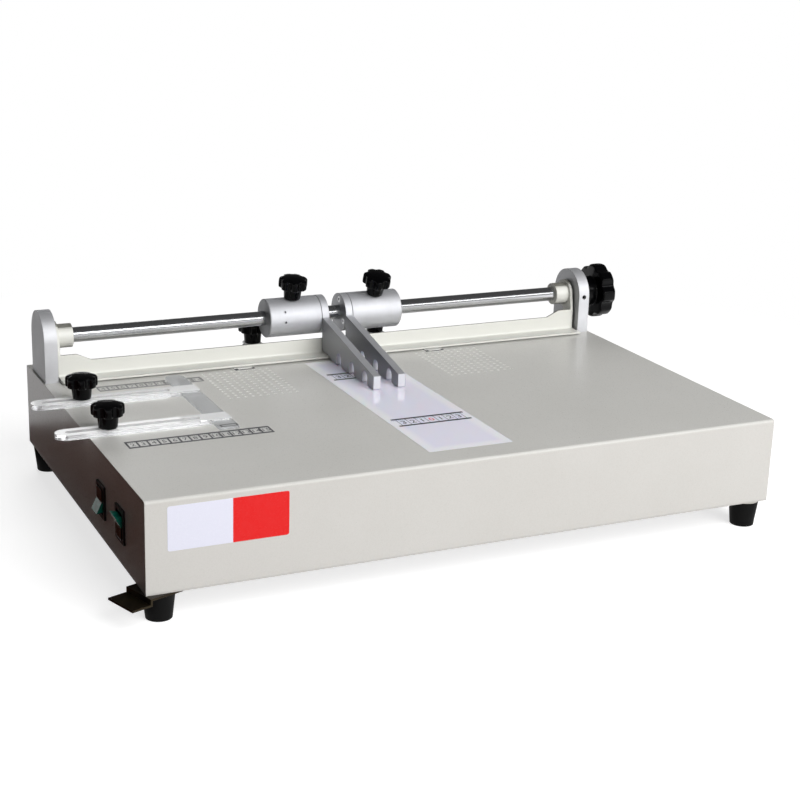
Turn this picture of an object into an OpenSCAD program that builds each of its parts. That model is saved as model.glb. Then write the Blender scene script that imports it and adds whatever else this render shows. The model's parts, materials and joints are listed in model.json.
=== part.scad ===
// Desk machine for casing books: a suction and light table with a comb-arm spine gauge.
// X runs along the shaft to the hand knob, Y runs from front to back, Z is up.
// The origin is on the floor under the middle of the whole machine, hold-down lug included.

/* [Body] */
// Width of the sheet-metal body
body_w = 650; // [600:1:720]
// Depth of the body, front to back
body_d = 434; // [420:1:480]
// Height of the body, cover and base plate together
body_h = 86; // [80:1:110]
// Thickness of the folded cover
sheet_t = 1.5; // [1:0.1:2.5]
// Outside radius of the cover's front and rear folds
fold_r = 3; // [2.6:0.2:6]
// Thickness of the base plate
base_t = 1.5; // [1:0.1:3]
// Height of the base plate's upturned rim inside the cover
base_rim_h = 12; // [8:1:18]

/* [Feet] */
// Height from the floor to the base plate
foot_h = 28; // [22:1:40]
// Radius of a foot where it meets the washer
foot_top_r = 15; // [13:0.5:18]
// Radius of a foot on the floor
foot_bottom_r = 12; // [10:0.5:14]
// Distance from the body's sides to a foot's axis
foot_in = 16; // [15:0.5:30]
// Diameter of the screw through a foot
foot_screw_d = 6; // [4:0.5:8]
// Thickness of the foot washers and of the hold-down lug
lug_t = 2; // [1.5:0.5:3]
// Width of the hold-down lug
lug_w = 36; // [30:1:40]
// Reach of the lug from the foot's axis to its outer edge
lug_reach = 40; // [34:1:60]
// Distance from the foot's axis to the lug's step
lug_step = 21; // [18:1:26]
// Drop of the lug's outer flange below the base plate
lug_drop = 5; // [4:0.5:12]
// Turn of the lug about its foot
lug_turn = 19; // [0:1:30]

/* [Light panel] */
// Width of the translucent panel
panel_w = 88; // [70:1:110]
// Length of the panel, front to back
panel_l = 309; // [250:1:312]
// Thickness of the panel
panel_t = 5; // [3:0.5:8]
// Distance from the front face to the panel
panel_front = 31; // [24:1:34]
// Depth of the light box under the cover
light_box_h = 38; // [30:1:44]
// Wall of the light box
light_box_wall = 4; // [3:0.5:6]
// Width of the ledge that carries the panel
panel_ledge = 5; // [3:0.5:8]
// Number of lamps along each row
led_count = 14; // [6:1:16]

/* [Suction field] */
// Diameter of a suction hole
hole_d = 2.5; // [1.5:0.1:3.5]
// Pitch of the suction holes
hole_pitch = 8; // [6.5:0.25:8.25]
// Holes in a row
hole_cols = 10; // [5:1:10]
// Rows of holes in a field
hole_rows = 12; // [5:1:12]
// Distance from the centre line to the middle of a field
hole_field_x = 125; // [122:1:140]
// Distance from the back rail's front edge to the middle of a field
hole_field_rail = 54; // [52:1:76]
// Depth of a suction box under the cover
suction_box_h = 28; // [20:1:32]
// Wall of the suction boxes
suction_wall = 2; // [1.5:0.5:3]
// Margin between the outer holes and the box wall
suction_margin = 7; // [5:0.5:9]
// Outside diameter of a suction box's outlet pipe
outlet_d = 30; // [22:1:34]

/* [Blower] */
// Diameter of the fan wheel
wheel_d = 54; // [46:1:56]
// Width of the fan wheel
wheel_l = 28; // [20:1:34]
// Number of fan blades
blade_count = 20; // [12:1:28]
// Width of the air duct, front to back
duct_w = 44; // [38:1:50]
// Height of the air duct
duct_h = 28; // [22:1:30]
// Diameter of the fan motor
motor_d = 44; // [36:1:50]
// Length of the fan motor
motor_l = 44; // [34:1:56]

/* [Shaft] */
// Diameter of the shaft
shaft_d = 16; // [12:0.5:18]
// Height of the shaft's axis above the table
shaft_up = 42; // [40:0.5:50]
// Distance from the rear face to the shaft's axis
shaft_rear = 49; // [46:1:54]
// Thickness of the end plates
plate_t = 13.5; // [12:0.5:20]
// Depth of the end plates, front to back
plate_d = 57; // [50:1:62]
// Inset of the end plates from the body's sides
plate_in = 2; // [1:0.5:8]
// Outside diameter of the shaft bushes
bush_d = 22; // [20:0.5:26]
// Diameter of the bush screw in the right end plate
bush_screw_d = 5; // [3:0.5:6]

/* [Back rail] */
// Sheet thickness of the back rail
rail_t = 2; // [1.5:0.5:3]
// Gap between the rail and the table, for the sheet
rail_gap = 1.4; // [1.4:0.1:3]
// Distance from the shaft's axis to the rail's front edge
rail_ahead = 39; // [37:0.5:41]
// Depth of the rail's flange
rail_flange = 20; // [17:0.5:21]
// Height of the rail above the table
rail_h = 19; // [14:0.5:20]
// Height of the rail's raised ends above the table
rail_end_h = 26; // [22:0.5:32]
// Length of a raised end
rail_end_l = 20; // [14:1:30]
// Length of the slope from a raised end
rail_slope_l = 15; // [8:1:25]
// Gap between the rail's ends and the end plates
rail_end_gap = 2; // [1.5:0.5:6]
// Thickness of the rail's end lugs
rail_lug_t = 3; // [2:0.5:4]
// Radius of the lugs round the shaft
rail_lug_r = 16; // [13.5:0.5:18]
// Diameter of the sleeves on the shaft
sleeve_d = 25; // [22:0.5:28]
// Length of the sleeves
sleeve_l = 16; // [10:1:24]

/* [Arms] */
// Diameter of the collars and of the arm heads
collar_d = 42.5; // [36:0.5:44]
// Length of a collar
collar_l = 60.5; // [50:0.5:70]
// Thickness of an arm
arm_t = 8; // [6:0.5:10]
// Reach of an arm from the shaft's axis to its tip
arm_reach = 160; // [150:1:175]
// Height of an arm at its tip
arm_tip_h = 14.5; // [14:0.5:20]
// Gap between the two arms
arm_gap = 20; // [17:1:40]
// Distance from the centre line to the middle of the gap
arm_mid = 4; // [-10:0.5:10]
// Gap between the teeth and the table
tooth_gap = 0.8; // [0.5:0.1:2]
// Length of a comb tooth
tooth_w = 22; // [18:0.5:23]
// Length of the tooth at the tip
tip_tooth_w = 16.5; // [12:0.5:20]
// Radius of the teeth's rear lower corners
tooth_corner_r = 4; // [2:0.5:5]
// Width of a comb slot
comb_slot_w = 12.5; // [10:0.5:14]
// Height of a comb slot above the table
comb_slot_h = 14.5; // [10:0.5:14.5]
// Number of comb slots
comb_slots = 3; // [1:1:3]
// Distance from the left arm to its clamp knob
left_clamp_in = 29.5; // [20:0.5:40]
// Distance from the right arm to its clamp knob
right_clamp_in = 32; // [20:0.5:40]
// Lean of the left collar's clamp knob towards the front
left_clamp_lean = 10; // [0:1:25]
// Lean of the right collar's clamp knob towards the front
right_clamp_lean = 20; // [0:1:25]
// Diameter of the arm screws
arm_screw_d = 4; // [3:0.5:4.5]

/* [Clamp knobs] */
// Diameter across the lobes
knob_d = 32; // [28:0.5:34]
// Height of a knob's head
knob_head_h = 12; // [9:0.5:15]
// Height of a knob's hub
knob_hub_h = 14; // [10:0.5:18]
// Diameter of the hub under the head
knob_hub_d = 20; // [17:0.5:22]
// Diameter of the hub at its foot
knob_foot_d = 18.5; // [13:0.5:19]
// Number of lobes
knob_lobes = 7; // [5:1:9]
// Diameter of the knob's stud
stud_d = 6; // [5:0.5:6.5]

/* [Hand knob] */
// Diameter across the lobes of the hand knob
hand_d = 64; // [54:1:72]
// Thickness of the hand knob's head
hand_head_l = 20.5; // [16:0.5:32]
// Length of the hand knob's hub
hand_hub_l = 17.5; // [4:0.5:24]
// Diameter of the hand knob's hub
hand_hub_d = 34; // [28:1:40]
// Number of lobes on the hand knob
hand_lobes = 8; // [6:1:10]

/* [Side gauge] */
// Width of a gauge strip
strip_w = 20; // [17:0.5:24]
// Thickness of a gauge strip
strip_t = 5; // [4:0.5:7]
// Width of the slot in a strip
strip_slot_w = 7; // [7:0.5:9]
// Overhang of the strips past the left side
strip_over = 30.5; // [20:0.5:40]
// Distance from the left side to the gauge bar
bar_left = 120; // [110:1:140]
// Width of the gauge bars
bar_w = 20; // [16:1:26]
// Thickness of the gauge bars
bar_t = 3; // [2:0.5:3.5]
// Gap between the back rail and the side gauge bar
bar_rail_gap = 10; // [6:1:20]
// Length of the side gauge bar
bar_l = 181; // [170:1:186]
// Distance from the back rail's front edge to the front strip
strip_front_rail = 162; // [150:1:168]
// Distance from the back rail's front edge to the rear strip
strip_rear_rail = 66; // [56:1:80]
// Distance from the left side to the knobs
side_knob_in = 20; // [16:1:30]

/* [Rear gauge] */
// Distance from the centre line to a rear strip
rear_strip_x = 75; // [60:1:90]
// Distance from the rear face to the rear knobs
rear_knob_in = 14; // [12:0.5:15]
// Distance from the centre line to a tongue
tongue_x = 113; // [105:1:120]
// Width of a tongue
tongue_w = 22; // [16:1:30]
// Thickness of a tongue
tongue_t = 0.8; // [0.5:0.1:0.8]
// Reach of a tongue in front of the rail
tongue_reach = 8; // [4:0.5:12]

/* [Switches] */
// Width of a switch frame
switch_w = 26; // [24:0.5:30]
// Height of a switch frame
switch_h = 32; // [30:0.5:36]
// Height of the switches above the body's underside
switch_up = 39; // [34:1:44]
// Distance from the front face to the front switch
switch_front_y = 73.5; // [60:0.5:80]
// Distance from the front face to the rear switch
switch_rear_y = 136.5; // [120:0.5:150]
// Tilt of a rocker each way
rocker_tilt = 13; // [6:0.5:16]

/* [Hidden] */
// Named clearances: sliding faces, running fits and fixed fits
slide_gap = 0.3;
run_gap = 0.05;
seat_gap = 0.02;
panel_gap = 0.2;
// Extra length of a cutting tool past the face that it cuts
cut = 1;
$fn = 64;

left_x = -body_w / 2;
right_x = body_w / 2;
inlet_bezel = 2;
// Reach of the lug in front of the body, and the shift that centres the whole machine
lug_over = lug_reach * sin(lug_turn) + lug_w / 2 * cos(lug_turn) - foot_in;
body_y = (max(lug_over, 0) - inlet_bezel) / 2;
front_y = body_y - body_d / 2;
rear_y = body_y + body_d / 2;
base_z = foot_h;
cover_z = base_z + base_t;
table_z = base_z + body_h;
roof_z = table_z - sheet_t;
floor_z = base_z + base_t;

shaft_r = shaft_d / 2;
shaft_y = rear_y - shaft_rear;
shaft_z = table_z + shaft_up;
plate_out = right_x - plate_in;
plate_inner = plate_out - plate_t;
blind_wall = 3;
shaft_left = -plate_out + blind_wall + slide_gap;
hand_gap = 1;
hand_start = plate_out + hand_gap;
hand_end = hand_start + hand_hub_l + hand_head_l;
hand_wall = 8;
shaft_right = hand_end - hand_wall;
bush_fit_r = bush_d / 2 + seat_gap;

rail_y = shaft_y - rail_ahead;
rail_wall_y = rail_y + rail_flange;
rail_z = table_z + rail_gap;
rail_half = plate_inner - rail_end_gap;

collar_r = collar_d / 2;
left_arm_x = arm_mid - arm_gap / 2 - arm_t;
right_arm_x = arm_mid + arm_gap / 2;
arm_screw_r = (shaft_r + collar_r) / 2;
arm_head_h = arm_screw_d;
arm_head_d = arm_screw_d * 1.75;
arm_screw_l = arm_t + 8;

strip_z = table_z + slide_gap;
bar_x = left_x + bar_left;
side_knob_x = left_x + side_knob_in;
strip_end_wall = 10;
strip_left = left_x - strip_over;
rear_knob_y = rear_y - rear_knob_in;
rear_slot_travel = 19;
rear_slot_wall = 6;
rear_strip_tail = 14;
rear_bar_gap = 4;
rear_bar_y = rail_wall_y + rail_t + rear_bar_gap;

suction_w = (hole_cols - 1) * hole_pitch + 2 * suction_margin;
suction_l = (hole_rows - 1) * hole_pitch + 2 * suction_margin;
field_y = rail_y - hole_field_rail;
duct_z = floor_z + 11;
duct_left = -hole_field_x - outlet_d / 2 - 6;
plenum_l = 24;
plenum_gap = 4;
blower_x = hole_field_x + suction_w / 2 + suction_wall + plenum_gap + plenum_l;
blower_wall = 2;
wheel_gap = 3;
scroll_r = wheel_d / 2 + wheel_gap;
scroll_step = 7;
blower_l = wheel_l + 2 * wheel_gap + 2 * blower_wall;
inlet_d = wheel_d * 0.6;
blower_z = floor_z + scroll_r + scroll_step + blower_wall;
motor_shaft_d = 6;
vent_y = field_y - (scroll_r + scroll_step + wheel_d / 4) / 2;

// Draws a profile given in Y and Z and runs it along X
module along_x(x, length) {
    translate([x, 0, 0]) rotate([90, 0, 90]) linear_extrude(length) children();
}

// Draws a profile given in X and Z and runs it along Y
module along_y(y, length) {
    translate([0, y + length, 0]) rotate([90, 0, 0]) linear_extrude(length) children();
}

// Round bar or hole along X
module bar_x_axis(x, length, r) {
    translate([x, 0, 0]) rotate([0, 90, 0]) cylinder(r = r, h = length);
}

// Round bar or hole along Y
module bar_y_axis(y, length, r) {
    translate([0, y, 0]) rotate([-90, 0, 0]) cylinder(r = r, h = length);
}

// Box centred in X and Y on the given point, standing on its Z
module block(x, y, z, w, d, h) {
    translate([x - w / 2, y - d / 2, z]) cube([w, d, h]);
}

// Slot outline with round ends, centred, long along X
module slot_2d(length, w) {
    square([length - w, w], center = true);
    for (s = [-1, 1]) translate([s * (length - w) / 2, 0]) circle(w / 2);
}

// The four places of the feet
module at_feet() {
    for (sx = [-1, 1])
        for (sy = [-1, 1])
            translate([sx * (right_x - foot_in), body_y + sy * (body_d / 2 - foot_in), 0]) children();
}

// The three feet that stand on washers, and the one that holds the lug
module at_washers() {
    for (s = [[1, -1], [-1, 1], [1, 1]])
        translate([s[0] * (right_x - foot_in), body_y + s[1] * (body_d / 2 - foot_in), 0]) children();
}

module at_lug() {
    translate([left_x + foot_in, front_y + foot_in, 0]) rotate(lug_turn) children();
}

// Folded outline of the body with rounded front and rear top edges
module fold_outline(inset, z_low, z_high, r) {
    y0 = front_y + inset;
    depth = body_d - 2 * inset;
    translate([y0, z_low]) square([depth, z_high - r - z_low]);
    translate([y0 + r, z_low]) square([depth - 2 * r, z_high - z_low]);
    for (y = [y0 + r, y0 + depth - r]) translate([y, z_high - r]) circle(r);
}

module suction_holes() {
    for (s = [-1, 1])
        for (i = [0 : hole_cols - 1])
            for (j = [0 : hole_rows - 1])
                translate([
                    s * hole_field_x + (i - (hole_cols - 1) / 2) * hole_pitch,
                    field_y + (j - (hole_rows - 1) / 2) * hole_pitch,
                    roof_z - cut
                ]) cylinder(d = hole_d, h = sheet_t + 2 * cut, $fn = 16);
}

// The four places where gauge knobs screw into the table
module at_gauge_knobs() {
    for (d = [strip_front_rail, strip_rear_rail]) translate([side_knob_x, rail_y - d, 0]) children();
    for (s = [-1, 1]) translate([s * rear_strip_x, rear_knob_y, 0]) children();
}

end_screw_d = 6;
end_screw_space = 34;

// The places of the screws that hold the end plates from below
module at_end_screws() {
    for (s = [-1, 1])
        for (t = [-1, 1])
            translate([s * (plate_out - plate_t / 2), shaft_y + t * end_screw_space / 2, 0]) children();
}

switch_neck = 1.5;
switch_wall = 2;
switch_hole_w = switch_w - 2 * switch_neck;
switch_hole_h = switch_h - 2 * switch_neck;

// The two places of the switches on the left side, as seen in Y and Z
module at_switches() {
    for (y = [switch_front_y, switch_rear_y])
        translate([left_x, front_y + y, base_z + switch_up]) children();
}

inlet_x = left_x + 80;
inlet_w = 48;
inlet_h = 28;
inlet_hole_w = 27;
inlet_hole_h = 20;
inlet_z = base_z + 40;
knob_hole_d = stud_d + 0.6;

module cover() {
    color([0.83, 0.83, 0.80])
    difference() {
        along_x(left_x, body_w) fold_outline(0, cover_z, table_z, fold_r);
        along_x(left_x + sheet_t, body_w - 2 * sheet_t)
            fold_outline(sheet_t, cover_z - cut, roof_z, fold_r - sheet_t);
        block(0, front_y + panel_front + panel_l / 2, roof_z - cut,
            panel_w + 2 * panel_gap, panel_l + 2 * panel_gap, sheet_t + 2 * cut);
        suction_holes();
        at_gauge_knobs() translate([0, 0, roof_z - cut]) cylinder(d = knob_hole_d, h = sheet_t + 2 * cut);
        at_end_screws() translate([0, 0, roof_z - cut])
            cylinder(d = end_screw_d + 0.6, h = sheet_t + 2 * cut);
        at_switches() translate([-cut, -switch_hole_w / 2, -switch_hole_h / 2])
            cube([sheet_t + 2 * cut, switch_hole_w, switch_hole_h]);
        block(inlet_x, rear_y - sheet_t / 2, inlet_z - inlet_hole_h / 2,
            inlet_hole_w, sheet_t + 2 * cut, inlet_hole_h);
    }
}

vent_count = 4;
vent_l = 30;
vent_w = 4;
vent_pitch = 7;

module base_plate() {
    rim_in = sheet_t + panel_gap;
    color([0.72, 0.72, 0.70])
    difference() {
        union() {
            block(0, body_y, base_z, body_w, body_d, base_t);
            difference() {
                block(0, body_y, floor_z - seat_gap, body_w - 2 * rim_in, body_d - 2 * rim_in, base_rim_h);
                block(0, body_y, base_z, body_w - 2 * rim_in - 2 * base_t,
                    body_d - 2 * rim_in - 2 * base_t, base_rim_h + base_t + cut);
            }
        }
        at_feet() translate([0, 0, base_z - cut]) cylinder(d = foot_screw_d + 0.6, h = base_t + 2 * cut);
        for (i = [0 : vent_count - 1])
            translate([
                blower_x + blower_l / 2,
                vent_y + (i - (vent_count - 1) / 2) * vent_pitch,
                base_z - cut
            ]) linear_extrude(base_t + 2 * cut) slot_2d(vent_l, vent_w);
    }
}

foot_recess_d = 13;
foot_recess_h = 10;

module feet() {
    color([0.05, 0.05, 0.05])
    at_feet() difference() {
        cylinder(r1 = foot_bottom_r, r2 = foot_top_r, h = foot_h - lug_t);
        translate([0, 0, -cut]) cylinder(d = foot_recess_d, h = foot_recess_h + cut);
        translate([0, 0, -cut]) cylinder(d = foot_screw_d + 2 * seat_gap, h = foot_h + 2 * cut);
    }
}

module foot_washers() {
    color([0.75, 0.70, 0.45])
    at_washers() translate([0, 0, base_z - lug_t]) difference() {
        cylinder(r = foot_top_r, h = lug_t);
        translate([0, 0, -cut]) cylinder(d = foot_screw_d + 0.6, h = lug_t + 2 * cut);
    }
}

foot_nut_h = 5;

module foot_screws() {
    color([0.75, 0.75, 0.75])
    at_feet() {
        translate([0, 0, foot_recess_h - foot_screw_d * 0.7])
            cylinder(d = foot_screw_d * 1.7, h = foot_screw_d * 0.7);
        translate([0, 0, foot_recess_h])
            cylinder(d = foot_screw_d, h = foot_h - foot_recess_h + base_t + foot_nut_h);
    }
}

module foot_nuts() {
    color([0.75, 0.75, 0.75])
    at_feet() translate([0, 0, floor_z]) difference() {
        cylinder(d = foot_screw_d * 1.85, h = foot_nut_h, $fn = 6);
        translate([0, 0, -cut]) cylinder(d = foot_screw_d + 2 * seat_gap, h = foot_nut_h + 2 * cut);
    }
}

// Bent strap under the front left foot: flange, step down, outer flange
module hold_down_lug() {
    inner = foot_top_r - lug_t;
    z_top = base_z - lug_drop;
    color([0.45, 0.40, 0.22])
    at_lug() difference() {
        union() {
            translate([-lug_step, -lug_w / 2, base_z - lug_t]) cube([lug_step + inner, lug_w, lug_t]);
            translate([-lug_step, -lug_w / 2, z_top - lug_t]) cube([lug_t, lug_w, lug_drop + lug_t]);
            translate([-lug_reach, -lug_w / 2, z_top - lug_t])
                cube([lug_reach - lug_step + lug_t, lug_w, lug_t]);
        }
        translate([0, 0, base_z - lug_t - cut]) cylinder(d = foot_screw_d + 0.6, h = lug_t + 2 * cut);
    }
}

module light_panel() {
    color([0.93, 0.92, 0.98])
    block(0, front_y + panel_front + panel_l / 2, table_z - panel_t, panel_w, panel_l, panel_t);
}

module light_box() {
    mid_y = front_y + panel_front + panel_l / 2;
    w = panel_w + 2 * panel_gap;
    l = panel_l + 2 * panel_gap;
    color([0.85, 0.85, 0.85])
    difference() {
        block(0, mid_y, roof_z - light_box_h, w + 2 * light_box_wall, l + 2 * light_box_wall, light_box_h);
        block(0, mid_y, table_z - panel_t, w, l, panel_t + cut);
        block(0, mid_y, roof_z - light_box_h + light_box_wall, w - 2 * panel_ledge, l - 2 * panel_ledge,
            light_box_h + cut);
    }
}

led_board_t = 1.6;
led_size = 5;
led_h = 1.5;

module led_board() {
    mid_y = front_y + panel_front + panel_l / 2;
    w = panel_w + 2 * panel_gap - 2 * panel_ledge - 2;
    l = panel_l + 2 * panel_gap - 2 * panel_ledge - 2;
    z = roof_z - light_box_h + light_box_wall;
    color([0.95, 0.95, 0.9]) {
        block(0, mid_y, z, w, l, led_board_t);
        for (s = [-1, 1])
            for (i = [0 : led_count - 1])
                block(s * w / 4, mid_y + (i - (led_count - 1) / 2) * l / led_count,
                    z + led_board_t - seat_gap, led_size, led_size, led_h);
    }
}

driver_w = 150;
driver_d = 42;
driver_h = 32;
driver_x = -170;
driver_front = 70;

// Power unit for the lamps, a lidded case with fixing ears
module led_driver() {
    ear = 14;
    ear_t = 3;
    color([0.78, 0.78, 0.76])
    translate([driver_x, front_y + driver_front, floor_z]) difference() {
        union() {
            block(0, 0, 0, driver_w, driver_d, driver_h);
            block(0, 0, 0, driver_w + 2 * ear, driver_d, ear_t);
        }
        for (s = [-1, 1])
            translate([s * (driver_w + ear) / 2, 0, -cut]) cylinder(d = 4.5, h = ear_t + 2 * cut);
    }
}

// Open box under a hole field, with a pipe down to the air duct
module suction_box(side) {
    z = roof_z - suction_box_h;
    pipe_z = duct_z + duct_h;
    color([0.8, 0.8, 0.78])
    translate([side * hole_field_x, field_y, 0]) difference() {
        union() {
            block(0, 0, z, suction_w + 2 * suction_wall, suction_l + 2 * suction_wall, suction_box_h);
            translate([0, 0, pipe_z]) cylinder(d = outlet_d, h = z - pipe_z + suction_wall);
        }
        block(0, 0, z + suction_wall, suction_w, suction_l, suction_box_h);
        translate([0, 0, pipe_z - cut])
            cylinder(d = outlet_d - 2 * suction_wall, h = z - pipe_z + 2 * suction_wall);
    }
}

module left_suction_box() { suction_box(-1); }
module right_suction_box() { suction_box(1); }

// Duct that gathers the air from both boxes and feeds the blower
module air_duct() {
    length = blower_x - duct_left;
    plenum_h = blower_z + inlet_d / 2 + 2 * suction_wall - duct_z;
    inner_w = duct_w - 2 * suction_wall;
    color([0.25, 0.25, 0.25])
    difference() {
        union() {
            translate([duct_left, field_y - duct_w / 2, duct_z]) cube([length, duct_w, duct_h]);
            translate([blower_x - plenum_l, field_y - duct_w / 2, duct_z])
                cube([plenum_l, duct_w, plenum_h]);
        }
        translate([duct_left + suction_wall, field_y - inner_w / 2, duct_z + suction_wall])
            cube([length, inner_w, duct_h - 2 * suction_wall]);
        translate([blower_x - plenum_l + suction_wall, field_y - inner_w / 2, duct_z + suction_wall])
            cube([plenum_l, inner_w, plenum_h - 2 * suction_wall]);
        for (s = [-1, 1])
            translate([s * hole_field_x, field_y, duct_z + duct_h / 2])
                cylinder(d = outlet_d - 2 * suction_wall, h = duct_h);
    }
}

scroll_points = 48;

// Spiral that opens from the tongue to the outlet, as seen along the axis
function scroll_point(i, r) =
    let (a = 360 * i / scroll_points, s = r + scroll_step * i / scroll_points)
    [s * cos(a - 180), s * sin(a - 180)];

module scroll_2d(grow) {
    r = scroll_r + grow;
    polygon([for (i = [0 : scroll_points]) scroll_point(i, r)]);
    translate([-r - scroll_step, -blower_z + floor_z + (grow > 0 ? 0 : -cut)])
        square([r + scroll_step - wheel_d / 4, blower_z - floor_z]);
}

module blower_housing() {
    color([0.12, 0.12, 0.12])
    translate([0, field_y, blower_z]) difference() {
        along_x(blower_x, blower_l) scroll_2d(blower_wall);
        along_x(blower_x + blower_wall, blower_l - 2 * blower_wall) scroll_2d(0);
        bar_x_axis(blower_x - cut, blower_wall + 2 * cut, inlet_d / 2);
        bar_x_axis(blower_x + blower_l - blower_wall - cut, blower_wall + 2 * cut, motor_shaft_d);
    }
}

module blower_motor() {
    x = blower_x + blower_l;
    color([0.55, 0.55, 0.58])
    translate([0, field_y, blower_z]) difference() {
        union() {
            bar_x_axis(x, motor_l, motor_d / 2);
            bar_x_axis(x, 4, motor_d / 2 + 5);
        }
        bar_x_axis(x - cut, motor_l * 0.75 + cut, motor_shaft_d / 2 + run_gap);
    }
}

module blower_wheel() {
    x = blower_x + blower_wall + wheel_gap;
    plate = 2;
    blade_in = wheel_d / 2 - 9;
    color([0.2, 0.2, 0.22])
    translate([0, field_y, blower_z]) {
        bar_x_axis(x + wheel_l - plate, plate, wheel_d / 2);
        difference() {
            bar_x_axis(x, plate, wheel_d / 2);
            bar_x_axis(x - cut, plate + 2 * cut, blade_in);
        }
        bar_x_axis(x + wheel_l / 3, wheel_l * 2 / 3, motor_shaft_d);
        bar_x_axis(x + wheel_l - plate, plate + wheel_gap + blower_wall + motor_l * 0.75 - cut,
            motor_shaft_d / 2);
        for (i = [0 : blade_count - 1])
            rotate([i * 360 / blade_count, 0, 0]) translate([x + plate / 2, 0, blade_in])
                rotate([25, 0, 0]) translate([0, -0.6, 0]) cube([wheel_l - plate, 1.2, 8]);
    }
}

// Appliance inlet with a socket and flat pins, on the rear wall
module mains_inlet() {
    depth = 22;
    socket_w = 22;
    socket_h = 15;
    pin = [2, 14, 4];
    color([0.06, 0.06, 0.06])
    translate([inlet_x, rear_y, inlet_z]) {
        difference() {
            union() {
                translate([-inlet_w / 2, 0, -inlet_h / 2]) cube([inlet_w, inlet_bezel, inlet_h]);
                translate([-inlet_hole_w / 2 + panel_gap, -depth, -inlet_hole_h / 2 + panel_gap])
                    cube([inlet_hole_w - 2 * panel_gap, depth + 1, inlet_hole_h - 2 * panel_gap]);
            }
            translate([-socket_w / 2, -depth + 4, -socket_h / 2]) cube([socket_w, depth, socket_h]);
        }
        for (p = [[-7, -2], [0, 2], [7, -2]])
            translate([p[0] - pin[0] / 2, -depth + 3, p[1] - pin[2] / 2]) cube(pin);
    }
}

rocker_w = switch_hole_w - 2 * switch_wall - 1;
rocker_half = switch_hole_h / 2 - switch_wall - 0.8;
rocker_hub = 2.5;
rocker_pin_r = 1.5;
rocker_dip = 2;
bezel_t = 2;
rocker_pivot_x = left_x - bezel_t / 2;

module switch_frames() {
    depth = 20;
    color([0.04, 0.04, 0.04])
    at_switches() difference() {
        union() {
            translate([-bezel_t, -switch_w / 2, -switch_h / 2]) cube([bezel_t, switch_w, switch_h]);
            translate([-bezel_t / 2, -switch_hole_w / 2 + panel_gap, -switch_hole_h / 2 + panel_gap])
                cube([depth, switch_hole_w - 2 * panel_gap, switch_hole_h - 2 * panel_gap]);
        }
        translate([-bezel_t - cut, -switch_hole_w / 2 + switch_wall, -switch_hole_h / 2 + switch_wall])
            cube([depth - 4, switch_hole_w - 2 * switch_wall, switch_hole_h - 2 * switch_wall]);
        translate([-bezel_t / 2, 0, 0])
            bar_y_axis(-switch_hole_w / 2 + 1, switch_hole_w - 2, rocker_pin_r + run_gap);
    }
}

// Rocker with two slanted faces on a pivot pin, pressed one way
module rocker(y, tilt) {
    rise = rocker_half * sin(rocker_tilt);
    color([0.05, 0.55, 0.45])
    translate([rocker_pivot_x, front_y + y, base_z + switch_up]) rotate([0, tilt, 0]) {
        translate([0, rocker_w / 2, 0]) rotate([90, 0, 0]) linear_extrude(rocker_w) polygon([
            [-rocker_dip - rise, rocker_half],
            [-rocker_dip, 0],
            [-rocker_dip - rise, -rocker_half],
            [rocker_hub, -rocker_half * 0.7],
            [rocker_hub, rocker_half * 0.7]
        ]);
        bar_y_axis(-rocker_w / 2 - switch_wall / 2, rocker_w + switch_wall, rocker_pin_r);
    }
}

module light_rocker() { rocker(switch_rear_y, rocker_tilt); }
module blower_rocker() { rocker(switch_front_y, -rocker_tilt); }

// Side outline of an end plate: straight sides and an arch round the shaft
module end_plate_outline() {
    translate([shaft_y - plate_d / 2, table_z]) square([plate_d, shaft_up]);
    translate([shaft_y, shaft_z]) circle(plate_d / 2);
}

end_screw_l = 24;

module end_plate(x, bore_x, bore_l) {
    difference() {
        along_x(x, plate_t) end_plate_outline();
        translate([0, shaft_y, shaft_z]) bar_x_axis(bore_x, bore_l, bush_fit_r);
        at_end_screws() translate([0, 0, table_z - cut])
            cylinder(d = end_screw_d + 2 * seat_gap, h = end_screw_l + cut);
    }
}

module left_end_plate() {
    color([0.75, 0.75, 0.76])
    end_plate(-plate_out, -plate_out + blind_wall, plate_t);
}

module right_end_plate() {
    color([0.75, 0.75, 0.76])
    difference() {
        end_plate(plate_inner, plate_inner - cut, plate_t + 2 * cut);
        translate([plate_out - plate_t / 2, 0, shaft_z])
            bar_y_axis(shaft_y - plate_d / 2 - cut, plate_d / 2 + cut - bush_d / 4,
                bush_screw_d / 2 + seat_gap);
    }
}

module end_plate_screws() {
    head_h = 5;
    color([0.3, 0.3, 0.3])
    at_end_screws() {
        translate([0, 0, roof_z - head_h]) cylinder(d = end_screw_d * 1.7, h = head_h);
        translate([0, 0, roof_z - cut]) cylinder(d = end_screw_d, h = end_screw_l + sheet_t);
    }
}

module bush(x, length) {
    translate([0, shaft_y, shaft_z]) difference() {
        bar_x_axis(x, length, bush_d / 2);
        bar_x_axis(x - cut, length + 2 * cut, shaft_r + run_gap);
    }
}

module shaft_bushes() {
    color([0.72, 0.55, 0.25]) {
        bush(-plate_out + blind_wall, plate_t - blind_wall);
        bush(plate_inner, plate_t);
    }
}

// Grub screw that locks the right bush, sunk in the plate's front edge
module bush_screw() {
    sunk = 4;
    color([0.05, 0.05, 0.05])
    translate([plate_out - plate_t / 2, 0, shaft_z]) difference() {
        bar_y_axis(shaft_y - plate_d / 2 + sunk, plate_d / 2 - sunk - bush_d / 2 - seat_gap,
            bush_screw_d / 2);
        bar_y_axis(shaft_y - plate_d / 2 + sunk - cut, cut + 2, bush_screw_d / 4);
    }
}

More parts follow.
